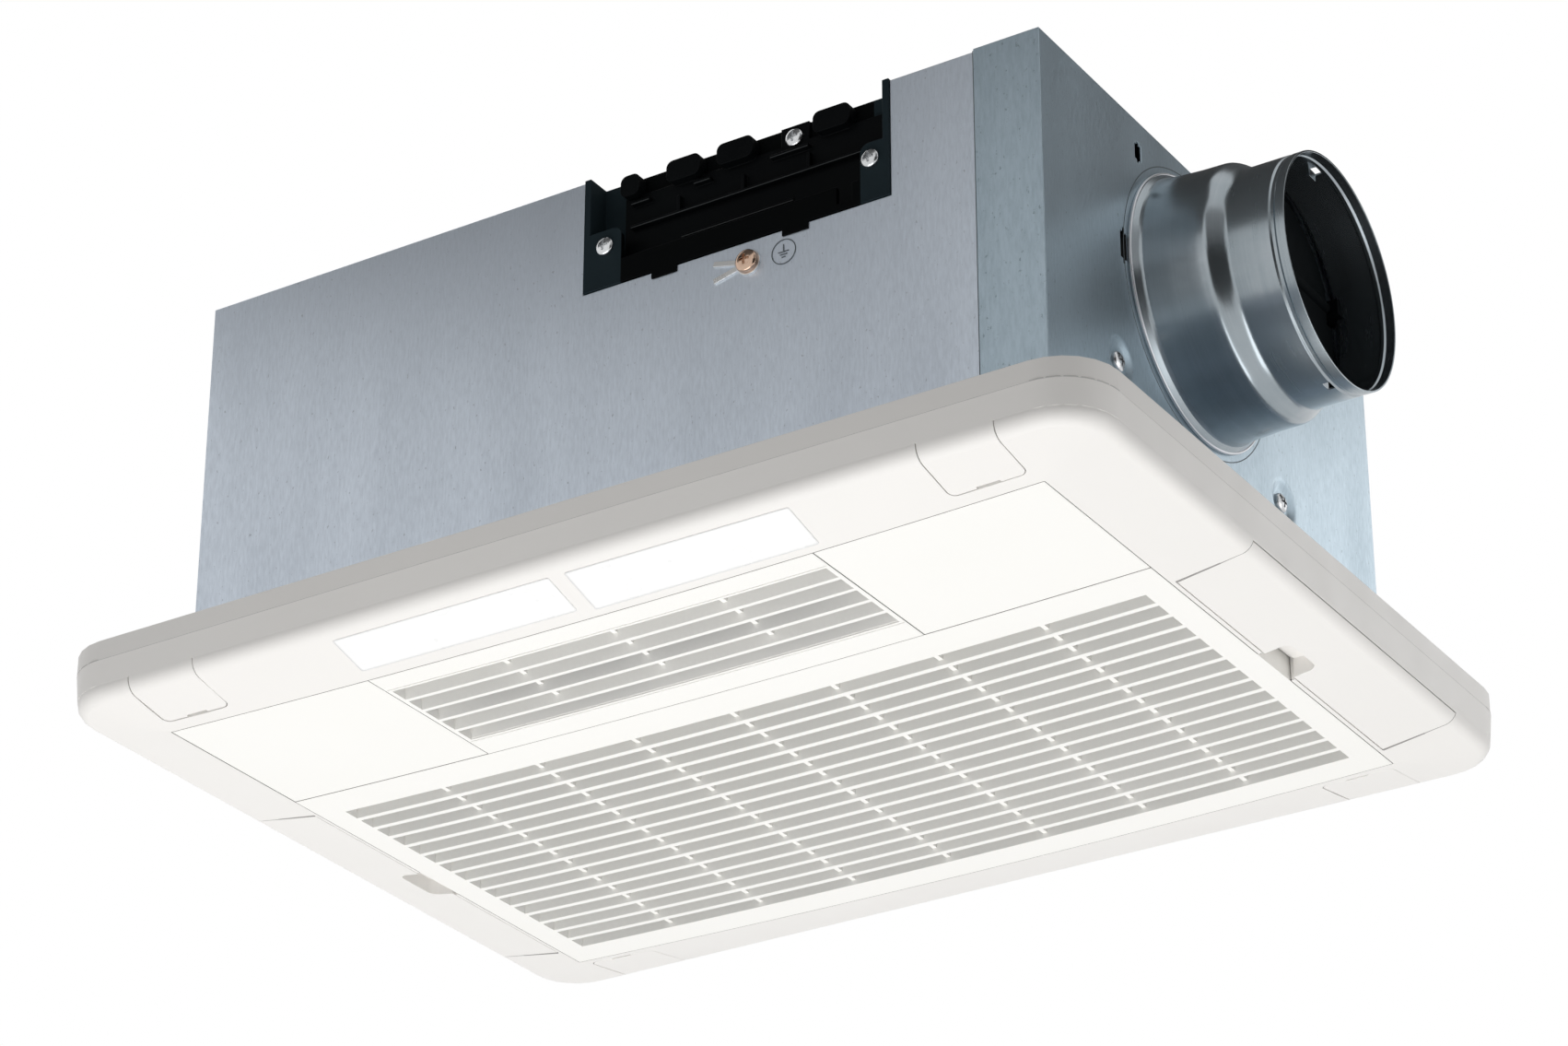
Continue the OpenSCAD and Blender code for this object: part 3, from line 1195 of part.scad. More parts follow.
// Control box beside the outlet duct, below the terminal box
control_gap = 5;
control_w = 82;
control_x0 = duct_half + control_gap;
control_x1 = control_x0 + control_w;
control_back = duct_back + control_gap;
control_low = 6;
control_top_gap = 7;
control_top = terminal_low - control_top_gap;
control_t = 0.8;
board_t = 1.6;
board_gap = 6;
module control_box() color("#b4bbc0") difference() {
  span(control_x0, control_x1, -wrap_in_d, control_back, control_low, control_top);
  span(control_x0 + control_t, control_x1 - control_t, -wrap_in_d + control_t, control_back + over,
    control_low + control_t, control_top - control_t);
}
module control_cover() color("#b4bbc0")
  span(control_x0, control_x1, control_back, control_back + control_t, control_low, control_top);
relay_shares = [0.2, 0.49, 0.18, 0.6];
relay_sizes = [[12, 15, 20], [12, 15, 20], [38, 24, 28], [40, 20, 14]];
relay_h = 16;
module control_board() color("#2f6b3d") translate([control_x0 + control_t, -wrap_in_d + control_t, control_low + control_t]) {
  w = control_x1 - control_x0 - 2 * control_t;
  h = control_top - control_low - 2 * control_t;
  span(seat_gap, w - seat_gap, board_gap, board_gap + board_t, seat_gap, h - seat_gap);
  for (i = [0:len(relay_sizes) - 1]) let (s = relay_sizes[i], z = h * relay_shares[i])
    span(s[0], s[0] + s[1], board_gap + board_t, board_gap + board_t + relay_h, z, z + s[2]);
}

capacitor_r = 15;
capacitor_l = 52;
capacitor_x = -150;
capacitor_drop = 50;
capacitor_z = casing_h - capacitor_drop;
strap_w = 10;
strap_t = 1;
strap_reach = 22;
module motor_capacitor() color("#e4e1d6") translate([capacitor_x, -wrap_in_d + strap_t + capacitor_r, capacitor_z]) {
  rotate([0, 90, 0]) cylinder(r = capacitor_r, h = capacitor_l, center = true);
  difference() {
    union() {
      rotate([0, 90, 0]) cylinder(r = capacitor_r + strap_t, h = strap_w, center = true);
      span(-strap_w / 2, strap_w / 2, -capacitor_r - strap_t, -capacitor_r, -strap_reach, strap_reach);
    }
    rotate([0, 90, 0]) cylinder(r = capacitor_r, h = strap_w + 2 * over, center = true);
  }
}

casing_wrap();
end_plate_duct();
end_plate_far();
mounting_frame();
end_plate_screws();
duct_collar();
duct_gasket();
shutter_brackets();
shutter_flap();
shutter_spindle();
terminal_tray();
terminal_block();
terminal_screws();
earth_screw();
earth_clip();
panel_frame();
panel_screws();
corner_cap_fl();
corner_cap_fr();
corner_cap_bl();
corner_cap_br();
side_trim_left();
side_trim_right();
blank_plate_left();
blank_plate_right();
outlet_grille();
intake_grille();
filter_frame();
filter_net();
bellmouth_plate();
circulation_scroll();
circulation_wheel();
circulation_motor();
circulation_shaft();
exhaust_inlet();
exhaust_scroll();
exhaust_wheel();
exhaust_motor();
exhaust_shaft();
air_transition();
outlet_duct();
heater_frame();
heater_bars();
heater_fins();
thermal_cutouts();
control_box();
control_board();
control_cover();
motor_capacitor();
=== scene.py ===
"""Looks of a ceiling fan heater for a bathroom: galvanised casing, spun duct collar, black terminal box
and a white moulded panel with slatted grilles. Metres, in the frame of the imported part."""
import json
import math

import bmesh
import bpy
import numpy as np
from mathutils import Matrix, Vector


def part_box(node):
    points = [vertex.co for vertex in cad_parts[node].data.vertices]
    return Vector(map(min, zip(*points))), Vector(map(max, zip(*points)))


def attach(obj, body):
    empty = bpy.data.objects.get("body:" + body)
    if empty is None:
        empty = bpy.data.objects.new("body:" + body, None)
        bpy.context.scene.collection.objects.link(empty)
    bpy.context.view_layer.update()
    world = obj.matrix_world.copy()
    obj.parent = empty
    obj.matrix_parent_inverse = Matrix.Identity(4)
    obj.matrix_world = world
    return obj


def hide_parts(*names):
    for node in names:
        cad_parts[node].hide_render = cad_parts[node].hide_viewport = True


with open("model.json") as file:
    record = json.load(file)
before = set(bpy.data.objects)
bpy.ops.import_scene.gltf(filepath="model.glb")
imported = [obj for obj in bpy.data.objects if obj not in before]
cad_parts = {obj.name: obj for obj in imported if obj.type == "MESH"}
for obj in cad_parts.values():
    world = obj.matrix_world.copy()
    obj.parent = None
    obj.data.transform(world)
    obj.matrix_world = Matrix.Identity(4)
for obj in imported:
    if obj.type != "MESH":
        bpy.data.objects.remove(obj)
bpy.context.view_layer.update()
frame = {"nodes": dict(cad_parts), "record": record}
MM = 0.001
WHITE = (1.0, 1.0, 1.0, 1.0)

# Places of the colour sockets on a Mix node, and two noise sizes in lumps to the metre
COLOUR_A, COLOUR_B, MIXED = 6, 7, 2
GRAIN_LUMPS, GLOSS_LUMPS = 900.0, 60.0


# Building blocks for the finishes
def finish(name, metallic=0.0, specular=0.5):
    """A new material with its shader, and the place on the piece in metres."""
    made = bpy.data.materials.new(name)
    made.use_nodes = True
    tree = made.node_tree
    shader = next(n for n in tree.nodes if n.type == "BSDF_PRINCIPLED")
    shader.inputs["Metallic"].default_value = metallic
    shader.inputs["Specular IOR Level"].default_value = specular
    return made, tree, shader, tree.nodes.new("ShaderNodeTexCoord").outputs["Object"]


def placed(tree, vector, scale=(1, 1, 1), shift=(0, 0, 0)):
    """The same place, moved by shift and then scaled along each axis."""
    node = tree.nodes.new("ShaderNodeMapping")
    tree.links.new(vector, node.inputs["Vector"])
    node.inputs["Scale"].default_value = scale
    node.inputs["Location"].default_value = [a * b for a, b in zip(shift, scale)]
    return node.outputs["Vector"]


def axes(tree, vector):
    """The X, Y and Z values of a place."""
    node = tree.nodes.new("ShaderNodeSeparateXYZ")
    tree.links.new(vector, node.inputs["Vector"])
    return node.outputs


def noise(tree, vector, scale, detail=3.0, rough=0.55):
    """Cloudy values round a half, scale lumps to the metre."""
    node = tree.nodes.new("ShaderNodeTexNoise")
    tree.links.new(vector, node.inputs["Vector"])
    node.inputs["Scale"].default_value = scale
    node.inputs["Detail"].default_value = detail
    node.inputs["Roughness"].default_value = rough
    return node.outputs["Fac"]


def ranged(tree, value, low, high, start=0.3, end=0.7):
    """The value from start to end carried over to low to high, and held there."""
    node = tree.nodes.new("ShaderNodeMapRange")
    tree.links.new(value, node.inputs["Value"])
    for key, number in zip(("From Min", "From Max", "To Min", "To Max"), (start, end, low, high)):
        node.inputs[key].default_value = number
    return node.outputs["Result"]


def sums(tree, kind, a, b):
    """Arithmetic on two values, where b may be a plain number."""
    node = tree.nodes.new("ShaderNodeMath")
    node.operation = kind
    tree.links.new(a, node.inputs[0])
    if isinstance(b, (int, float)):
        node.inputs[1].default_value = b
    else:
        tree.links.new(b, node.inputs[1])
    return node.outputs["Value"]


def blend(tree, first, *others):
    """The sum of some values, each given with its weight."""
    total = sums(tree, "MULTIPLY", *first)
    for value, weight in others:
        total = sums(tree, "ADD", total, sums(tree, "MULTIPLY", value, weight))
    return total


def shade(tree, factor, first, second):
    """A colour between two colours."""
    node = tree.nodes.new("ShaderNodeMix")
    node.data_type = "RGBA"
    tree.links.new(factor, node.inputs["Factor"])
    for key, colour in ((COLOUR_A, first), (COLOUR_B, second)):
        if isinstance(colour, tuple):
            node.inputs[key].default_value = (*colour, 1.0)
        else:
            tree.links.new(colour, node.inputs[key])
    return node.outputs[MIXED]


def relief(tree, shader, height, strength, depth):
    """Small relief on the surface, depth metres between low and high."""
    node = tree.nodes.new("ShaderNodeBump")
    node.inputs["Strength"].default_value = strength
    node.inputs["Distance"].default_value = depth
    tree.links.new(height, node.inputs["Height"])
    tree.links.new(node.outputs["Normal"], shader.inputs["Normal"])


def satin(tree, shader, at, rough, grain, depth):
    """A satin skin: roughness that drifts round the one given, and a fine moulded grain."""
    gloss = noise(tree, at, GLOSS_LUMPS, 3.0)
    tree.links.new(ranged(tree, gloss, rough - 0.05, rough + 0.06), shader.inputs["Roughness"])
    relief(tree, shader, noise(tree, at, grain, 2.0), 0.3, depth)


def seen_rays(tree):
    """1 for the rays of the camera, of gloss and of transmission, and 0 for the others."""
    ray = tree.nodes.new("ShaderNodeLightPath").outputs
    direct = sums(tree, "MAXIMUM", ray["Is Camera Ray"], ray["Is Glossy Ray"])
    return sums(tree, "MAXIMUM", direct, ray["Is Transmission Ray"])


def galvanised(name, dark, light, metallic, rough):
    """Zinc-coated sheet: a fine grain drawn out along Z, soft clouds, and small dark specks."""
    made, tree, shader, at = finish(name, metallic)
    drawn = placed(tree, at, (1.0, 1.0, 0.2))
    grain = noise(tree, drawn, GRAIN_LUMPS, 3.0, 0.65)
    cloud = noise(tree, drawn, 30.0, 4.0)
    spots = noise(tree, placed(tree, at, (1.0, 1.0, 0.6)), 620.0, 2.0)
    speck = ranged(tree, spots, 0.0, 1.0, 0.66, 0.74)
    total = blend(tree, (grain, 0.6), (cloud, 0.4))
    even = shade(tree, ranged(tree, total, 0.0, 1.0, 0.38, 0.62), dark, light)
    worn = tuple(0.72 * a for a in dark)
    tree.links.new(shade(tree, speck, even, worn), shader.inputs["Base Color"])
    tree.links.new(ranged(tree, total, rough + 0.05, rough - 0.05, 0.38, 0.62), shader.inputs["Roughness"])
    relief(tree, shader, grain, 0.18, 0.00008)
    return made


def moulded(name, colour, deep, rough, grain=GRAIN_LUMPS, depth=0.00006, specular=0.45):
    """Moulded plastic: colour that drifts a little under a satin skin."""
    made, tree, shader, at = finish(name, 0.0, specular)
    drift = ranged(tree, noise(tree, at, 11.0, 4.0), 0.0, 1.0)
    tree.links.new(shade(tree, drift, colour, deep), shader.inputs["Base Color"])
    satin(tree, shader, at, rough, grain, depth)
    return made


def tray_plastic_painted_shade(name, ears, middle, rough, left, right, soft=0.0002):
    """Black plastic under a satin skin with painted shade: darker between the two ears than on them, where the
    middle stands back in shade. Left and right are the places along X where the ears end, and soft is how far
    the greys run into each other, in metres."""
    made, tree, shader, at = finish(name, 0.0, 0.03)
    x = axes(tree, at)["X"]
    unshaded_ears = sums(tree, "MAXIMUM", ranged(tree, x, 1.0, 0.0, left, left + soft),
                   ranged(tree, x, 0.0, 1.0, right - soft, right))
    drift = ranged(tree, noise(tree, at, GLOSS_LUMPS, 3.0), 0.85, 1.0)
    grey = sums(tree, "MULTIPLY", unshaded_ears, drift)
    tree.links.new(shade(tree, grey, middle, ears), shader.inputs["Base Color"])
    satin(tree, shader, at, rough, GRAIN_LUMPS, 0.00006)
    return made


def drawn_metal(name, dark, light, metallic, rough, along, centre=(0, 0, 0), fine=2600.0):
    """Turned or drawn metal: streaks across the axis named, as many to the metre as fine says, over bands 14
    times as broad and a few stains."""
    made, tree, shader, at = finish(name, metallic)
    local = placed(tree, at, shift=[-c for c in centre])
    streak, band = [noise(tree, placed(tree, local, [across if axis == along else 10.0 for axis in "xyz"]),
                          1.0, 2.0) for across in (fine, fine / 14)]
    stain = noise(tree, at, 45.0, 4.0)
    total = blend(tree, (streak, 0.25), (band, 0.25), (stain, 0.5))
    tree.links.new(shade(tree, ranged(tree, total, 0.0, 1.0), dark, light), shader.inputs["Base Color"])
    tree.links.new(ranged(tree, total, rough + 0.06, rough - 0.06), shader.inputs["Roughness"])
    relief(tree, shader, streak, 0.05, 0.00002)
    return made


def woven(name, thread, gap, pitch):
    """A net of crossing threads: the smaller of two sines taken without their signs, one along X and one along
    Y, each zero every pitch metres. It is near zero on a thread, and the gaps are darker and lower."""
    made, tree, shader, at = finish(name, 0.0, 0.3)
    place = axes(tree, at)
    turns = [sums(tree, "MULTIPLY", place[k], math.pi / pitch) for k in ("X", "Y")]
    waves = [sums(tree, "ABSOLUTE", sums(tree, "SINE", turn, 0), 0) for turn in turns]
    net = ranged(tree, sums(tree, "MINIMUM", *waves), 0.0, 1.0, 0.3, 0.6)
    tree.links.new(shade(tree, net, thread, gap), shader.inputs["Base Color"])
    tree.links.new(ranged(tree, noise(tree, at, 300.0), 0.6, 0.8), shader.inputs["Roughness"])
    relief(tree, shader, ranged(tree, net, 1.0, 0.0, 0.0, 1.0), 0.6, 0.0002)
    return made


# Finishes. The ears of the terminal tray, on either side of its painted shade, are as wide as given here, in
# metres.
collar_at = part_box("duct_collar")
collar_axis = (0.0, (collar_at[0].y + collar_at[1].y) / 2, (collar_at[0].z + collar_at[1].z) / 2)
tray_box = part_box("terminal_tray")
EAR_LEFT, EAR_RIGHT = 0.0181, 0.013
FINISH = {
    "casing_zinc": galvanised("casing_zinc", (0.55, 0.605, 0.675), (0.635, 0.697, 0.775), 0.75, 0.38),
    # Zinc of the end plate, darker than the casing's: partly the sheet's own tone, partly painted shade for
    # that side, which is less lit than the front
    "end_plate_zinc_and_shade": galvanised("end_plate_zinc_and_shade", (0.365, 0.452, 0.512), (0.435, 0.53, 0.598), 0.75, 0.36),
    "inner_zinc": galvanised("inner_zinc", (0.40, 0.42, 0.45), (0.52, 0.54, 0.57), 0.6, 0.4),
    "collar_zinc": drawn_metal("collar_zinc", (0.26, 0.305, 0.33), (0.37, 0.405, 0.432), 0.95, 0.24, "x",
                               collar_axis),
    "bead_zinc": drawn_metal("bead_zinc", (0.50, 0.51, 0.53), (0.62, 0.63, 0.66), 0.9, 0.3, "x", collar_axis),
    "screw_zinc": drawn_metal("screw_zinc", (0.45, 0.46, 0.47), (0.70, 0.71, 0.72), 1.0, 0.24, "y"),
    "earth_copper": drawn_metal("earth_copper", (0.30, 0.19, 0.13), (0.60, 0.44, 0.34), 1.0, 0.2, "y"),
    "clip_tin": drawn_metal("clip_tin", (0.70, 0.70, 0.69), (0.85, 0.85, 0.84), 0.9, 0.3, "x"),
    "foam_rubber": moulded("foam_rubber", (0.02, 0.02, 0.02), (0.035, 0.035, 0.035), 0.85, 500.0, 0.0004,
                           0.2),
    "shutter_black": moulded("shutter_black", (0.002, 0.003, 0.0035), (0.004, 0.005, 0.006), 0.7,
                             specular=0.06),
    "terminal_black": tray_plastic_painted_shade("terminal_black", (0.019, 0.030, 0.036), (0.0015, 0.002, 0.0022), 0.5,
                                   tray_box[0].x + EAR_LEFT, tray_box[1].x - EAR_RIGHT),
    "block_black": moulded("block_black", (0.002, 0.0025, 0.003), (0.003, 0.004, 0.0045), 0.45,
                           specular=0.05),
    "seam_shadow": moulded("seam_shadow", (0.16, 0.155, 0.145), (0.19, 0.185, 0.175), 0.8, specular=0.1),
    "trim_shadow": moulded("trim_shadow", (0.36, 0.35, 0.335), (0.33, 0.32, 0.31), 0.7, specular=0.1),
    "band_shadow": moulded("band_shadow", (0.62, 0.61, 0.595), (0.60, 0.59, 0.575), 0.5, specular=0.2),
    # Painted highlight: a lighter black for strips along the edges of the terminal block's ridges
    "painted_highlight_black": moulded("painted_highlight_black", (0.03, 0.034, 0.036), (0.045, 0.05, 0.052), 0.4, specular=0.3),
    # Grey for the printed earth mark, and painted shadow for the lap's edge line and the collar's seat groove
    "print_and_shadow_grey": moulded("print_and_shadow_grey", (0.10, 0.12, 0.13), (0.14, 0.16, 0.17), 0.6, specular=0.2),
    "panel_white": moulded("panel_white", (0.865, 0.847, 0.82), (0.85, 0.832, 0.805), 0.42),
    "grille_white": moulded("grille_white", (0.93, 0.92, 0.89), (0.92, 0.91, 0.875), 0.4),
    "filter_plastic": moulded("filter_plastic", (0.62, 0.64, 0.65), (0.56, 0.58, 0.6), 0.5),
    "filter_net": woven("filter_net", (0.42, 0.44, 0.45), (0.10, 0.11, 0.115), 0.0011),
    "wheel_black": moulded("wheel_black", (0.015, 0.016, 0.018), (0.025, 0.026, 0.03), 0.45),
    "motor_steel": drawn_metal("motor_steel", (0.34, 0.36, 0.38), (0.50, 0.52, 0.54), 0.9, 0.34, "z",
                               fine=1500.0),
    "heater_mica": moulded("heater_mica", (0.52, 0.46, 0.35), (0.40, 0.34, 0.25), 0.6, 500.0, 0.00015),
    "heater_metal": drawn_metal("heater_metal", (0.52, 0.53, 0.55), (0.68, 0.69, 0.71), 1.0, 0.32, "x"),
    "board_green": moulded("board_green", (0.03, 0.14, 0.06), (0.02, 0.10, 0.045), 0.35, 400.0, 0.0001),
    "capacitor_shell": moulded("capacitor_shell", (0.66, 0.64, 0.58), (0.6, 0.58, 0.52), 0.35),
    "label_film": moulded("label_film", (0.93, 0.93, 0.925), (0.915, 0.915, 0.91), 0.3, 300.0, 0.00002),
}

# Meshes: the angles in degrees up to which faces look smooth and count as one flat face, and how near to each
# other points are one, in metres
SMOOTH_DEG, FLAT_DEG, JOIN = 35.0, 0.05, 1e-6
BODY_OF = {n: body for body, members in frame["record"]["behaviour"]["bodies"].items() for n in members}


def mesh_piece(name, points, faces, material, body="casing"):
    """A piece from arrays of points in metres and faces, smooth but for its sharp edges."""
    mesh = bpy.data.meshes.new(name)
    mesh.from_pydata(np.asarray(points, float).tolist(), [], np.asarray(faces).tolist())
    mesh.update()
    mesh.shade_smooth()
    mesh.set_sharp_from_angle(angle=math.radians(SMOOTH_DEG))
    piece = bpy.data.objects.new(name, mesh)
    bpy.context.scene.collection.objects.link(piece)
    mesh.materials.append(FINISH[material])
    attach(piece, body)
    return piece


def grid_faces(rows, columns, close_rows=False, close_columns=False):
    """Quads between neighbours of a grid of points, joined round where a direction closes on itself."""
    i, j = np.meshgrid(np.arange(rows if close_rows else rows - 1),
                       np.arange(columns if close_columns else columns - 1), indexing="ij")
    a, b = i * columns + j, i * columns + (j + 1) % columns
    c, d = ((i + 1) % rows) * columns + (j + 1) % columns, ((i + 1) % rows) * columns + j
    return np.stack([a, b, c, d], -1).reshape(-1, 4)


def dressed(node, material, edge):
    """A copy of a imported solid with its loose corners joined, flat faces made whole and its sharp edges eased
    by edge millimetres."""
    source = frame["nodes"][node].data
    spots = np.empty(len(source.vertices) * 3, np.float32)
    source.vertices.foreach_get("co", spots)
    corners = np.empty(len(source.loops), np.int32)
    source.loops.foreach_get("vertex_index", corners)
    _, first, where = np.unique(np.round(spots.reshape(-1, 3) / JOIN).astype(np.int64), axis=0,
                                return_index=True, return_inverse=True)
    triangles = where.reshape(-1)[corners].reshape(-1, 3)
    keep = (triangles != np.roll(triangles, 1, axis=1)).all(1)
    piece = mesh_piece(node + "_finished", spots.reshape(-1, 3)[first], triangles[keep], material,
                       BODY_OF[node])
    shape = bmesh.new()
    shape.from_mesh(piece.data)
    bmesh.ops.dissolve_limit(shape, angle_limit=math.radians(FLAT_DEG), verts=shape.verts, edges=shape.edges)
    shape.to_mesh(piece.data)
    shape.free()
    piece.data.set_sharp_from_angle(angle=math.radians(SMOOTH_DEG))
    ease = piece.modifiers.new("eased_edges", "BEVEL")
    ease.width, ease.segments = edge * MM, 2
    ease.limit_method, ease.angle_limit = "ANGLE", math.radians(SMOOTH_DEG)
    ease.harden_normals = True
    level = piece.modifiers.new("even_shading", "WEIGHTED_NORMAL")
    level.keep_sharp = True
    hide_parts(node)


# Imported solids: finish, and how far their sharp edges are eased in millimetres
DRESS = {
    "casing_wrap": ("casing_zinc", 0.25), "end_plate_duct": ("end_plate_zinc_and_shade", 0.25),
    "end_plate_far": ("casing_zinc", 0.25), "mounting_frame": ("casing_zinc", 0.2),
    "end_plate_screws": ("screw_zinc", 0.12), "duct_collar": ("collar_zinc", 0.15),
    "shutter_brackets": ("shutter_black", 0.1), "shutter_flap": ("shutter_black", 0.2),
    "terminal_tray": ("terminal_black", 0.25), "terminal_block": ("block_black", 0.3),
    "terminal_screws": ("screw_zinc", 0.12), "earth_screw": ("earth_copper", 0.12),
    "earth_clip": ("clip_tin", 0.1), "panel_frame": ("panel_white", 0.3),
    "corner_cap_fl": ("panel_white", 0.2), "corner_cap_fr": ("panel_white", 0.2),
    "corner_cap_bl": ("panel_white", 0.2), "corner_cap_br": ("panel_white", 0.2),
    "side_trim_left": ("panel_white", 0.2), "side_trim_right": ("panel_white", 0.2),
    "blank_plate_left": ("grille_white", 0.3), "blank_plate_right": ("grille_white", 0.3),
    "outlet_grille": ("grille_white", 0.3), "intake_grille": ("grille_white", 0.3),
    "panel_screws": ("screw_zinc", 0.12),
}
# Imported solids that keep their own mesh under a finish
PLAIN = {
    "duct_gasket": "foam_rubber", "shutter_spindle": "shutter_black", "filter_frame": "filter_plastic",
    "filter_net": "filter_net", "bellmouth_plate": "inner_zinc", "circulation_scroll": "inner_zinc",
    "circulation_wheel": "wheel_black", "circulation_motor": "motor_steel", "circulation_shaft": "screw_zinc",
    "exhaust_inlet": "inner_zinc", "exhaust_scroll": "inner_zinc", "exhaust_wheel": "wheel_black",
    "exhaust_motor": "motor_steel", "exhaust_shaft": "screw_zinc", "air_transition": "inner_zinc",
    "outlet_duct": "inner_zinc", "heater_frame": "heater_mica", "heater_bars": "heater_metal",
    "heater_fins": "heater_metal", "thermal_cutouts": "heater_mica", "control_box": "inner_zinc",
    "control_board": "board_green", "control_cover": "inner_zinc", "motor_capacitor": "capacitor_shell",
}
for node, (material, edge) in DRESS.items():
    dressed(node, material, edge)
for node, material in PLAIN.items():
    mesh = frame["nodes"][node].data
    mesh.materials.clear()
    mesh.materials.append(FINISH[material])

# Sizes of the panel that the thin pieces on it follow, in millimetres
PANEL_W, PANEL_D, PANEL_CORNER, PANEL_DROP, CROWN_RISE = 475.0, 360.0, 24.0, 33.5, 2.9
OPENING_W, OPENING_FRONT, OPENING_BACK, OUTLET_HALF, DIVIDER_Y = 402.4, 147.5, 142.3, 102.5, 66.1
OPENING_HALF = OPENING_W / 2
EDGE_INSET, EDGE_LOW, EDGE_R, EDGE_MIDDLE = 5.928, -26.107, 6.5, (230.0, -19.8)
SEAM, NOTCH_Y, TRIM_Y, TRIM_IN = 0.4, (21.4, 49.6), (-50.0, 128.0), 203.2


def crown_height(x):
    """Height of the panel's face: a parabola along the panel, lowest at its middle."""
    return -PANEL_DROP + CROWN_RISE * (2 * x / OPENING_W) ** 2


def border_height(x, y):
    """Height of the front border: from the rounded edge straight to the crowned edge of the opening."""
    share = (PANEL_D / 2 - EDGE_INSET + y) / (PANEL_D / 2 - EDGE_INSET - OPENING_FRONT)
    return EDGE_LOW * (1 - share) + crown_height(x) * share


# Plain films on the border: left, right, front and back, then their corners, lift and thickness
FILMS = {"label_film_left": (-101.0, 1.0, -173.0, -153.0), "label_film_right": (8.0, 108.0, -173.0, -151.0)}
FILM_CORNER, FILM_LIFT, FILM_THICK = 1.0, 0.1, 0.1


def film(name, left, right, front, back):
    """A thin blank film on the border: a rounded rectangle, whose ring of edge points shrinks to its middle
    line, laid on the border's height and thickened outwards."""
    turn = np.radians(np.linspace(0, 90, 7))
    middles = ((right - FILM_CORNER, back - FILM_CORNER), (left + FILM_CORNER, back - FILM_CORNER),
               (left + FILM_CORNER, front + FILM_CORNER), (right - FILM_CORNER, front + FILM_CORNER))
    ring = np.concatenate([np.stack([x + FILM_CORNER * np.cos(turn + k * math.pi / 2),
                                     y + FILM_CORNER * np.sin(turn + k * math.pi / 2)], -1)
                           for k, (x, y) in enumerate(middles)])
    reach = (back - front) / 2
    spine_x = np.clip(ring[:, 0], left + reach, right - reach)
    spine = np.stack([spine_x, np.full_like(spine_x, (front + back) / 2)], -1)
    inwards = np.linspace(0, 1, 9)[:, None, None]
    flat = ring[None] * (1 - inwards) + spine[None] * inwards
    height = border_height(flat[..., :1], flat[..., 1:]) - FILM_LIFT
    points = np.concatenate([flat, height], -1).reshape(-1, 3)
    faces = grid_faces(len(flat), len(ring), False, True)[:, ::-1]
    piece = mesh_piece(name, points * MM, faces, "label_film")
    shape = bmesh.new()
    shape.from_mesh(piece.data)
    bmesh.ops.remove_doubles(shape, verts=shape.verts, dist=JOIN)
    bmesh.ops.recalc_face_normals(shape, faces=shape.faces)
    if sum(f.normal.z for f in shape.faces) > 0:
        bmesh.ops.reverse_faces(shape, faces=shape.faces)
    shape.to_mesh(piece.data)
    shape.free()
    wall = piece.modifiers.new("film_thickness", "SOLIDIFY")
    wall.thickness, wall.offset = FILM_THICK * MM, 1.0


def crown_strip(name, x0, x1, y0, y1, low, high, material, lean=0.0, steps=48):
    """A strip whose lower and upper faces follow the crown at the heights low and high above it, where lean
    carries the upper front edge towards the front."""
    x = np.linspace(x0, x1, steps)
    rows = [np.stack([x, np.full_like(x, y), crown_height(x) + z], -1)
            for y, z in ((y0, low), (y1, low), (y1, high), (y0 - lean, high))]
    points = np.stack(rows, 1).reshape(-1, 3)
    last = 4 * (steps - 1)
    ends = np.array([[3, 2, 1, 0], [last, last + 1, last + 2, last + 3]])
    faces = np.concatenate([grid_faces(steps, 4, False, True), ends])
    mesh_piece(name, points * MM, faces, material)


# Shadow in the seams between the moulded pieces: how far it runs behind the eased edges, how far it stays
# clear of the grille that comes down, and how far its two faces lie behind the panel's face
SPREAD, CLEAR, LINE_LOW, LINE_HIGH = 0.3, 0.02, 0.1, 0.6


def seam_line(name, x0, x1, y0, y1, steps=48):
    """A dark strip of painted shadow a little behind the face, across a seam and the eased edges beside it."""
    crown_strip(name, x0, x1, y0, y1, LINE_LOW, LINE_HIGH, "seam_shadow", steps=steps)


seam_line("seam_front", -OPENING_HALF, OPENING_HALF, -OPENING_FRONT - SPREAD, -OPENING_FRONT + SEAM + SPREAD)
seam_line("seam_divider", -OPENING_HALF, OPENING_HALF, -DIVIDER_Y - SEAM / 2 - SPREAD,
          -DIVIDER_Y + SEAM / 2 - CLEAR)
seam_line("seam_back", -OPENING_HALF, OPENING_HALF, OPENING_BACK - SEAM + CLEAR, OPENING_BACK + SPREAD)
for side, word in ((-1, "left"), (1, "right")):
    ends = sorted((side * (OPENING_HALF - SEAM + CLEAR), side * (OPENING_HALF + SPREAD)))
    seam_line("seam_end_" + word, *ends, -OPENING_FRONT, NOTCH_Y[0], 2)
    seam_line("seam_end_back_" + word, *ends, NOTCH_Y[1], OPENING_BACK, 2)
    seam_line("seam_outlet_" + word, side * OUTLET_HALF - SEAM / 2 - SPREAD,
              side * OUTLET_HALF + SEAM / 2 + SPREAD, -OPENING_FRONT, -DIVIDER_Y, 2)


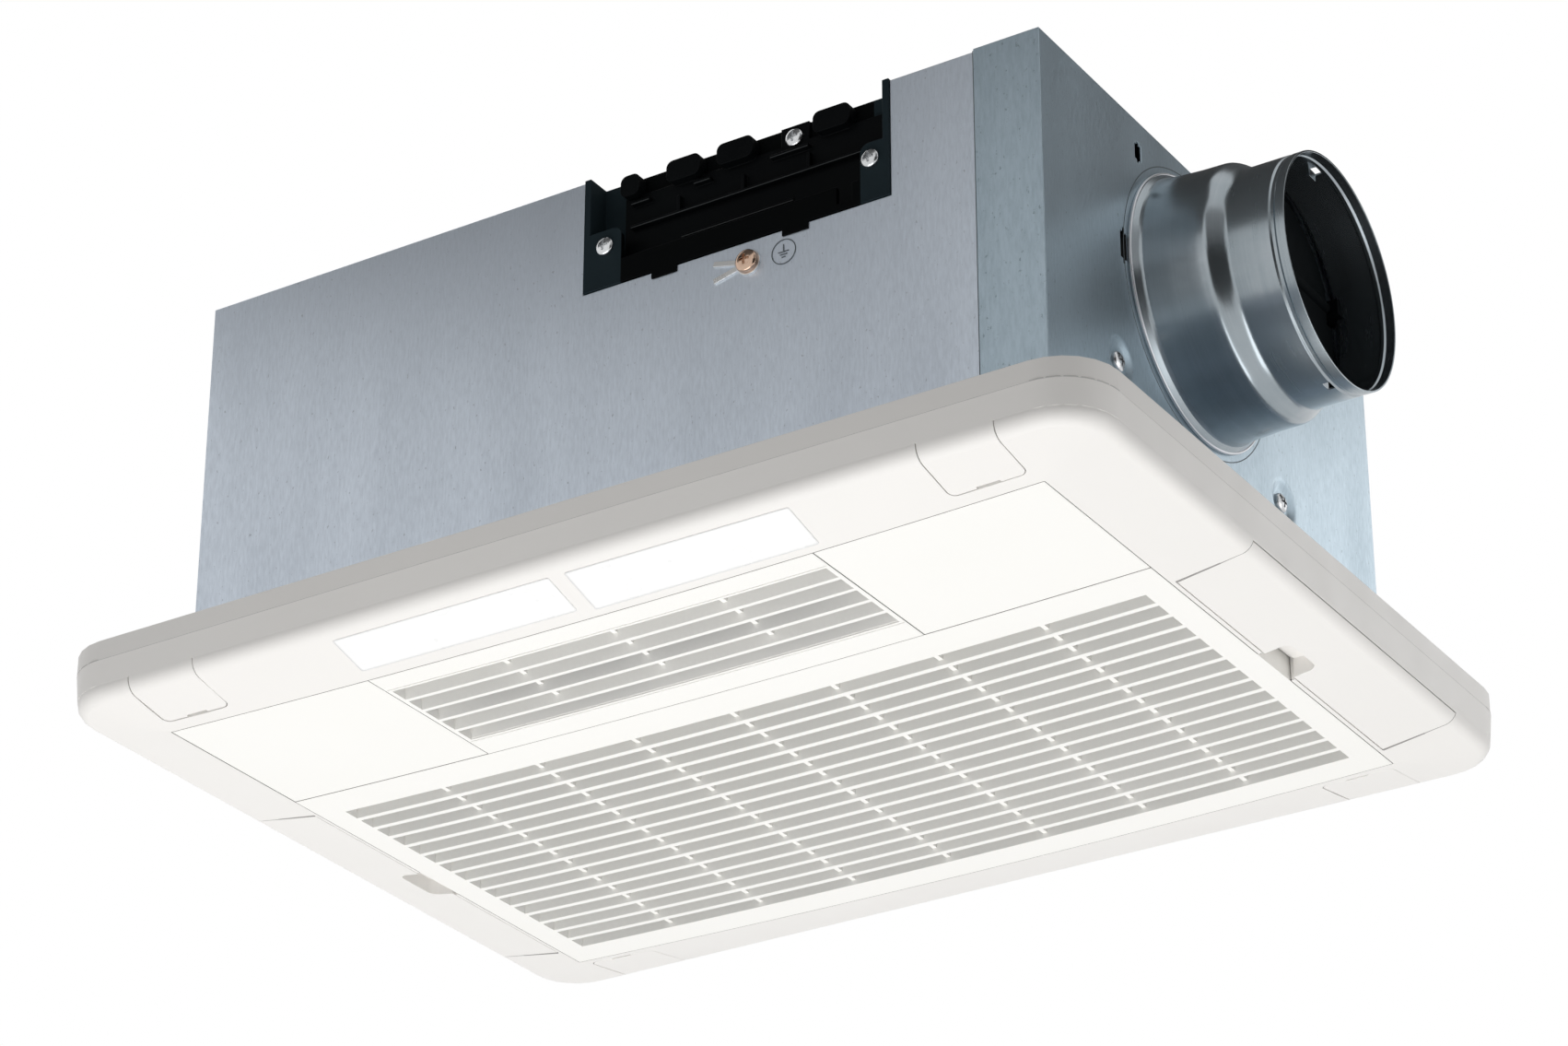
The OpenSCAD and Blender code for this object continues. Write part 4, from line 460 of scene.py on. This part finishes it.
def trim_seam(name, side, y0, y1):
    """A dark strip of painted shadow a little behind the side border: straight from the opening to the rounded
    edge, then round that edge's arc from 76 to 24 degrees, as far behind the surface as the seam lines."""
    sweep = np.radians(np.linspace(76, 24, 8))
    low, high = [np.concatenate([[[TRIM_IN, -PANEL_DROP + CROWN_RISE + inset]],
                                 np.stack([EDGE_MIDDLE[0] + (EDGE_R - inset) * np.cos(sweep),
                                           EDGE_MIDDLE[1] - (EDGE_R - inset) * np.sin(sweep)], -1)])
                 for inset in (LINE_LOW, LINE_HIGH)]
    outline = np.concatenate([low, high[::-1]])
    count = len(outline)
    points = np.stack([np.concatenate([side * outline[:, 0]] * 2), np.repeat([y0, y1], count),
                       np.concatenate([outline[:, 1]] * 2)], -1)
    k = np.arange(len(low) - 1)
    near = np.stack([k, k + 1, count - 2 - k, count - 1 - k], -1)
    ends = np.stack([near, near[:, ::-1] + count], 1).reshape(-1, 4)
    faces = np.concatenate([grid_faces(2, count, False, True)[:, ::-1], ends])[:, ::side]
    mesh_piece(name, points * MM, faces, "trim_shadow")


for side, word in ((-1, "left"), (1, "right")):
    trim_seam("seam_trim_front_" + word, side, TRIM_Y[0] - SEAM - SPREAD, TRIM_Y[0] + SPREAD)
    trim_seam("seam_trim_back_" + word, side, TRIM_Y[1] - SPREAD, TRIM_Y[1] + SEAM + SPREAD)

# The leaning wall behind the last outlet slot: its half length, front, back, and heights above the crown
WALL_HALF, WALL_FRONT, WALL_BACK, WALL_LOW, WALL_HIGH, WALL_LEAN = 100.3, -81.3, -80.95, 0.6, 10.5, 2.4
crown_strip("outlet_back_wall", -WALL_HALF, WALL_HALF, WALL_FRONT, WALL_BACK, WALL_LOW, WALL_HIGH,
            "grille_white", lean=WALL_LEAN)


def rim_ring(name, profile, material):
    """A slim ring on the panel's rim: a profile of insets and heights carried round the rounded outline."""
    turn = np.radians(np.linspace(0, 90, 12))
    a = np.concatenate([turn + q for q in np.radians((0, 90, 180, 270))])
    cx = np.repeat([1, -1, -1, 1], len(turn)) * (PANEL_W / 2 - PANEL_CORNER)
    cy = np.repeat([1, 1, -1, -1], len(turn)) * (PANEL_D / 2 - PANEL_CORNER)
    rows = [np.stack([cx + (PANEL_CORNER - inset) * np.cos(a), cy + (PANEL_CORNER - inset) * np.sin(a),
                      np.full_like(a, z)], -1) for inset, z in profile]
    points = np.stack(rows, 1).reshape(-1, 3)
    faces = grid_faces(len(a), len(profile), True, True)[:, ::-1]
    mesh_piece(name, points * MM, faces, material)


# Profiles round the rim, as insets from its outline and heights: the slim fillet under the proud band, and the
# painted shadow line at the band's lower edge
FILLET = ((0.02, -8.48), (1.3, -8.48), (1.3, -19.4), (0.99, -19.4))
BAND_SHADOW_LINE = ((0.01, -8.15), (0.6, -8.15), (0.6, -8.7), (0.01, -8.7))
rim_ring("band_fillet", FILLET, "panel_white")
rim_ring("band_shadow_line", BAND_SHADOW_LINE, "band_shadow")
for name, edges in FILMS.items():
    film(name, *edges)

# A box's corners run fastest along Z, then along Y, then along X, and these are its six faces
BOX_FACES = np.array([[2, 3, 1, 0], [5, 7, 6, 4], [1, 5, 4, 0], [6, 7, 3, 2], [4, 6, 2, 0], [3, 7, 5, 1]])


def thin_bars(name, bars, material="print_and_shadow_grey"):
    """Thin boxes side by side as one piece, such as the lines of an earth mark. Each is given by the middle of
    its back in X, Y and Z, its width along X, its height along Z and its thickness towards the front."""
    a, b, c = [g.reshape(-1) for g in np.meshgrid((-1, 1), (0, 1), (-1, 1), indexing="ij")]
    x, y, z, wide, high, thick = np.array(bars, float).T[:, :, None]
    points = np.stack([x + a * wide / 2, y - b * thick, z + c * high / 2], -1).reshape(-1, 3)
    faces = BOX_FACES + 8 * np.arange(len(bars))[:, None, None]
    mesh_piece(name, points * MM, faces.reshape(-1, 4), material)


def ring_bead(name, centre, radius, wide, high, axis, material="print_and_shadow_grey", turns=128, around=12):
    """A low half-round bead on the casing: an ellipse carried round a circle about the axis named, its long
    axis in the sheet."""
    t, a = np.meshgrid(np.linspace(0, 2 * np.pi, turns, endpoint=False),
                       np.linspace(0, 2 * np.pi, around, endpoint=False), indexing="ij")
    r = radius + wide / 2 * np.cos(a)
    up = high * np.sin(a)
    u, v = r * np.cos(t), r * np.sin(t)
    points = {"x": (up, u, v), "y": (u, -up, v)}[axis]
    points = (np.stack(points, -1).reshape(-1, 3) + centre) * MM
    mesh_piece(name, points, grid_faces(turns, around, True, True)[:, ::-1], material)


def root_flare(name, steps=14, turns=160):
    """The sheet's flare at the root of the collar: over a length of 1 + 7 u its radius is 54.62 - 0.25 u
    + 2.3 (1 - u)^3, turned about the duct's axis, with a straight line back inside the collar's own wall."""
    u = np.linspace(0, 1, steps)
    outer = np.stack([1.0 + 7.0 * u, 54.62 - 0.25 * u + 2.3 * (1 - u) ** 3], -1)
    inner = outer[::-1] * (1, 0) + (0, 54.0)
    profile = np.concatenate([outer, inner])
    t = np.linspace(0, 2 * np.pi, turns, endpoint=False)
    x, r = [np.broadcast_to(profile[None, :, k], (turns, len(profile))) for k in (0, 1)]
    points = np.stack([x, r * np.cos(t)[:, None], r * np.sin(t)[:, None]], -1).reshape(-1, 3) + COLLAR_ROOT
    faces = grid_faces(turns, len(profile), True, True)[:, ::-1]
    mesh_piece(name, points * MM, faces, "collar_zinc")


# Painted shadow line at the lap's edge, collar root with a painted shadow line round its seat, painted
# highlights along the terminal ridges, and earth mark, in millimetres: the front sheet, the middle of the
# collar's root and of the bead on it, the faces of the terminal block's ridges, and the middle of the mark
SHEET_Y, COLLAR_ROOT, BEAD_ROOT = -138.9, (200.0, -15.6, 103.8), (201.0, -15.6, 103.8)
BLOCK_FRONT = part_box("terminal_block")[0].y / MM
RIDGE_Y, LOW_RIDGE_Y = BLOCK_FRONT + 1.6, BLOCK_FRONT + 3.6
RIDGE_HIGH, RIDGE_PROUD, RIDGE_INSET, RIDGE_SUNK = 0.4, 0.06, 0.6, 0.02
EARTH_X, EARTH_Z, MARK_PROUD = 84.5, 107.2, 0.08

# A painted shadow line along the edge where the end plate laps over the front sheet
thin_bars("lap_edge_shadow", [(170.8, SHEET_Y, 84.9, 0.5, 168.8, 0.3)])
# A painted shadow line where a stamped groove rings the collar's seat
ring_bead("collar_seat_shadow_line", COLLAR_ROOT, 60.6, 0.45, 0.12, "x")
ring_bead("collar_root_bead", BEAD_ROOT, 57.2, 1.3, 0.75, "x", "bead_zinc")
root_flare("collar_root_flare")
# Strips of painted highlight along the front edges of the terminal block's ridges
RIDGES = ((8, 127, RIDGE_Y, 145.55), (8, 17, RIDGE_Y, 156.55), (38, 46, RIDGE_Y, 156.55),
          (74, 92, RIDGE_Y, 156.55), (31, 84, LOW_RIDGE_Y, 135.05))
thin_bars("ridge_painted_highlights", [((a + b) / 2, y + RIDGE_SUNK, z, b - a - RIDGE_INSET, RIDGE_HIGH, RIDGE_PROUD)
                          for a, b, y, z in RIDGES], "painted_highlight_black")
ring_bead("earth_mark_ring", (EARTH_X, SHEET_Y, EARTH_Z), 5.4, 0.4, MARK_PROUD, "y", turns=64)
thin_bars("earth_mark_bars", [(EARTH_X, SHEET_Y, EARTH_Z + up, wide, high, MARK_PROUD) for up, wide, high in (
    (1.8, 0.4, 3.0), (0, 5.0, 0.35), (-1.2, 3.4, 0.35), (-2.4, 1.8, 0.35))])

# Camera at the photograph's viewing angle: place in metres, direction in degrees, lens and film in millimetres
CAMERA_AT, CAMERA_AZIMUTH, CAMERA_RISE = (0.90101, -1.43349, -0.80894), 32.24, 27.67
CAMERA_LENS, CAMERA_FILM, CAMERA_SHIFT = 105.48, 36.0, (0.0003, -0.0076)
camera = bpy.data.objects.new("camera", bpy.data.cameras.new("camera"))
bpy.context.scene.collection.objects.link(camera)
azimuth, rise = math.radians(CAMERA_AZIMUTH), math.radians(CAMERA_RISE)
forward = Vector((-math.sin(azimuth) * math.cos(rise), math.cos(azimuth) * math.cos(rise), math.sin(rise)))
camera.location = CAMERA_AT
camera.rotation_mode = "QUATERNION"
camera.rotation_quaternion = forward.to_track_quat("-Z", "Y")
camera.data.sensor_width, camera.data.lens = CAMERA_FILM, CAMERA_LENS
camera.data.shift_x, camera.data.shift_y = CAMERA_SHIFT
camera.data.clip_start, camera.data.clip_end = 0.05, 50.0
bpy.context.scene.camera = camera

# Studio in metres. Lamps: place, target, watts and side. Cards: place, target, width, height and tone.
LAMPS = {
    "lamp_below": ((-0.1, -0.44, -1.67), (0, 0, 0), 28.1, 2.0),
    "lamp_above": ((-1.2, 1.0, 2.0), (0, 0, 0.1), 10.0, 2.0),
    "lamp_right": ((0.45, 0.50, 0.25), (0.2, 0.11, 0.03), 0.22, 0.3),
    "lamp_side": ((1.9, 0.1, -0.4), (0.2, 0.0, 0.0), 6.0, 1.2),
}
CARDS = {
    "card_corner": ((0.45, -0.36, 0.07), (0.24, -0.18, 0.0), 0.42, 0.32, 0.07),
    "card_side": ((0.48, 0.33, 0.47), (0.2, -0.08, 0.14), 0.35, 0.35, 0.03),
    "card_collar": ((0.05, -0.27, 0.56), (0.25, -0.05, 0.12), 0.5, 0.5, 0.17),
    "card_top": ((0.05, 0.14, 0.52), (0.22, -0.06, 0.14), 0.42, 0.42, 0.14),
    "card_shoulder": ((0.44, -0.34, 0.35), (0.237, -0.065, 0.105), 0.3, 0.3, 0.6),
    "card_above": ((-0.30, -0.44, 0.50), (-0.12, -0.14, 0.15), 0.5, 0.3, 0.03),
}
FLOOR_Z, FLOOR_REACH, FLOOR_POINTS, FLOOR_GLOW, AMBIENT = -3.2, 30.0, 9, 0.63, 0.42


def lamp(name, place, target, power, side):
    """A soft square lamp that looks at the target and stays out of the picture."""
    light = bpy.data.lights.new(name, "AREA")
    light.shape, light.size, light.energy = "SQUARE", side, power
    holder = bpy.data.objects.new(name, light)
    bpy.context.scene.collection.objects.link(holder)
    holder.location = place
    holder.rotation_mode = "QUATERNION"
    holder.rotation_quaternion = (Vector(target) - Vector(place)).to_track_quat("-Z", "Y")
    holder.visible_camera = False


def card(name, place, target, wide, high, tone):
    """A plain grey card that faces the target, shades it and shows in its metal, but not in the picture."""
    made, tree, shader, at = finish(name + "_grey", 0.0, 0.1)
    greys = shade(tree, noise(tree, at, 3.0), (tone,) * 3, (0.9 * tone,) * 3)
    tree.links.new(greys, shader.inputs["Base Color"])
    shader.inputs["Roughness"].default_value = 0.9
    mesh = bpy.data.meshes.new(name)
    corners = [(a * wide / 2, b * high / 2, 0.0) for a, b in ((-1, -1), (1, -1), (1, 1), (-1, 1))]
    mesh.from_pydata(corners, [], [(0, 1, 2, 3)])
    turn = (Vector(target) - Vector(place)).to_track_quat("-Z", "Y").to_matrix().to_4x4()
    turn.translation = Vector(place)
    mesh.transform(turn)
    mesh.materials.append(made)
    holder = bpy.data.objects.new(name, mesh)
    bpy.context.scene.collection.objects.link(holder)
    holder.visible_camera = False


for name, values in LAMPS.items():
    lamp(name, *values)
for name, values in CARDS.items():
    card(name, *values)

# A pale floor far below, which glows white for the rays that show it
floor_material, floor_tree, floor_shader, floor_at = finish("studio_floor", 0.0, 0.2)
floor_tint = ranged(floor_tree, noise(floor_tree, floor_at, 2.0), 0.0, 1.0)
floor_tree.links.new(shade(floor_tree, floor_tint, (0.80, 0.80, 0.80), (0.82, 0.82, 0.82)),
                     floor_shader.inputs["Base Color"])
floor_shader.inputs["Roughness"].default_value = 0.7
floor_shader.inputs["Emission Color"].default_value = WHITE
floor_tree.links.new(sums(floor_tree, "MULTIPLY", seen_rays(floor_tree), FLOOR_GLOW),
                     floor_shader.inputs["Emission Strength"])
floor_mesh = bpy.data.meshes.new("studio_floor")
reach = np.linspace(-FLOOR_REACH, FLOOR_REACH, FLOOR_POINTS)
u, v = np.meshgrid(reach, reach, indexing="ij")
floor_mesh.from_pydata(np.stack([u, v, np.full_like(u, FLOOR_Z)], -1).reshape(-1, 3).tolist(), [],
                       grid_faces(FLOOR_POINTS, FLOOR_POINTS)[:, ::-1].tolist())
floor_mesh.materials.append(floor_material)
floor = bpy.data.objects.new("studio_floor", floor_mesh)
bpy.context.scene.collection.objects.link(floor)

# A surround that is white to look at and lights the unit softly
world = bpy.data.worlds.new("studio")
bpy.context.scene.world = world
world.use_nodes = True
sky = world.node_tree
surround = sky.nodes["Background"]
surround.inputs["Color"].default_value = WHITE
sky.links.new(ranged(sky, seen_rays(sky), AMBIENT, 1.0, 0.0, 1.0), surround.inputs["Strength"])
bpy.context.scene.view_settings.view_transform = "Standard"
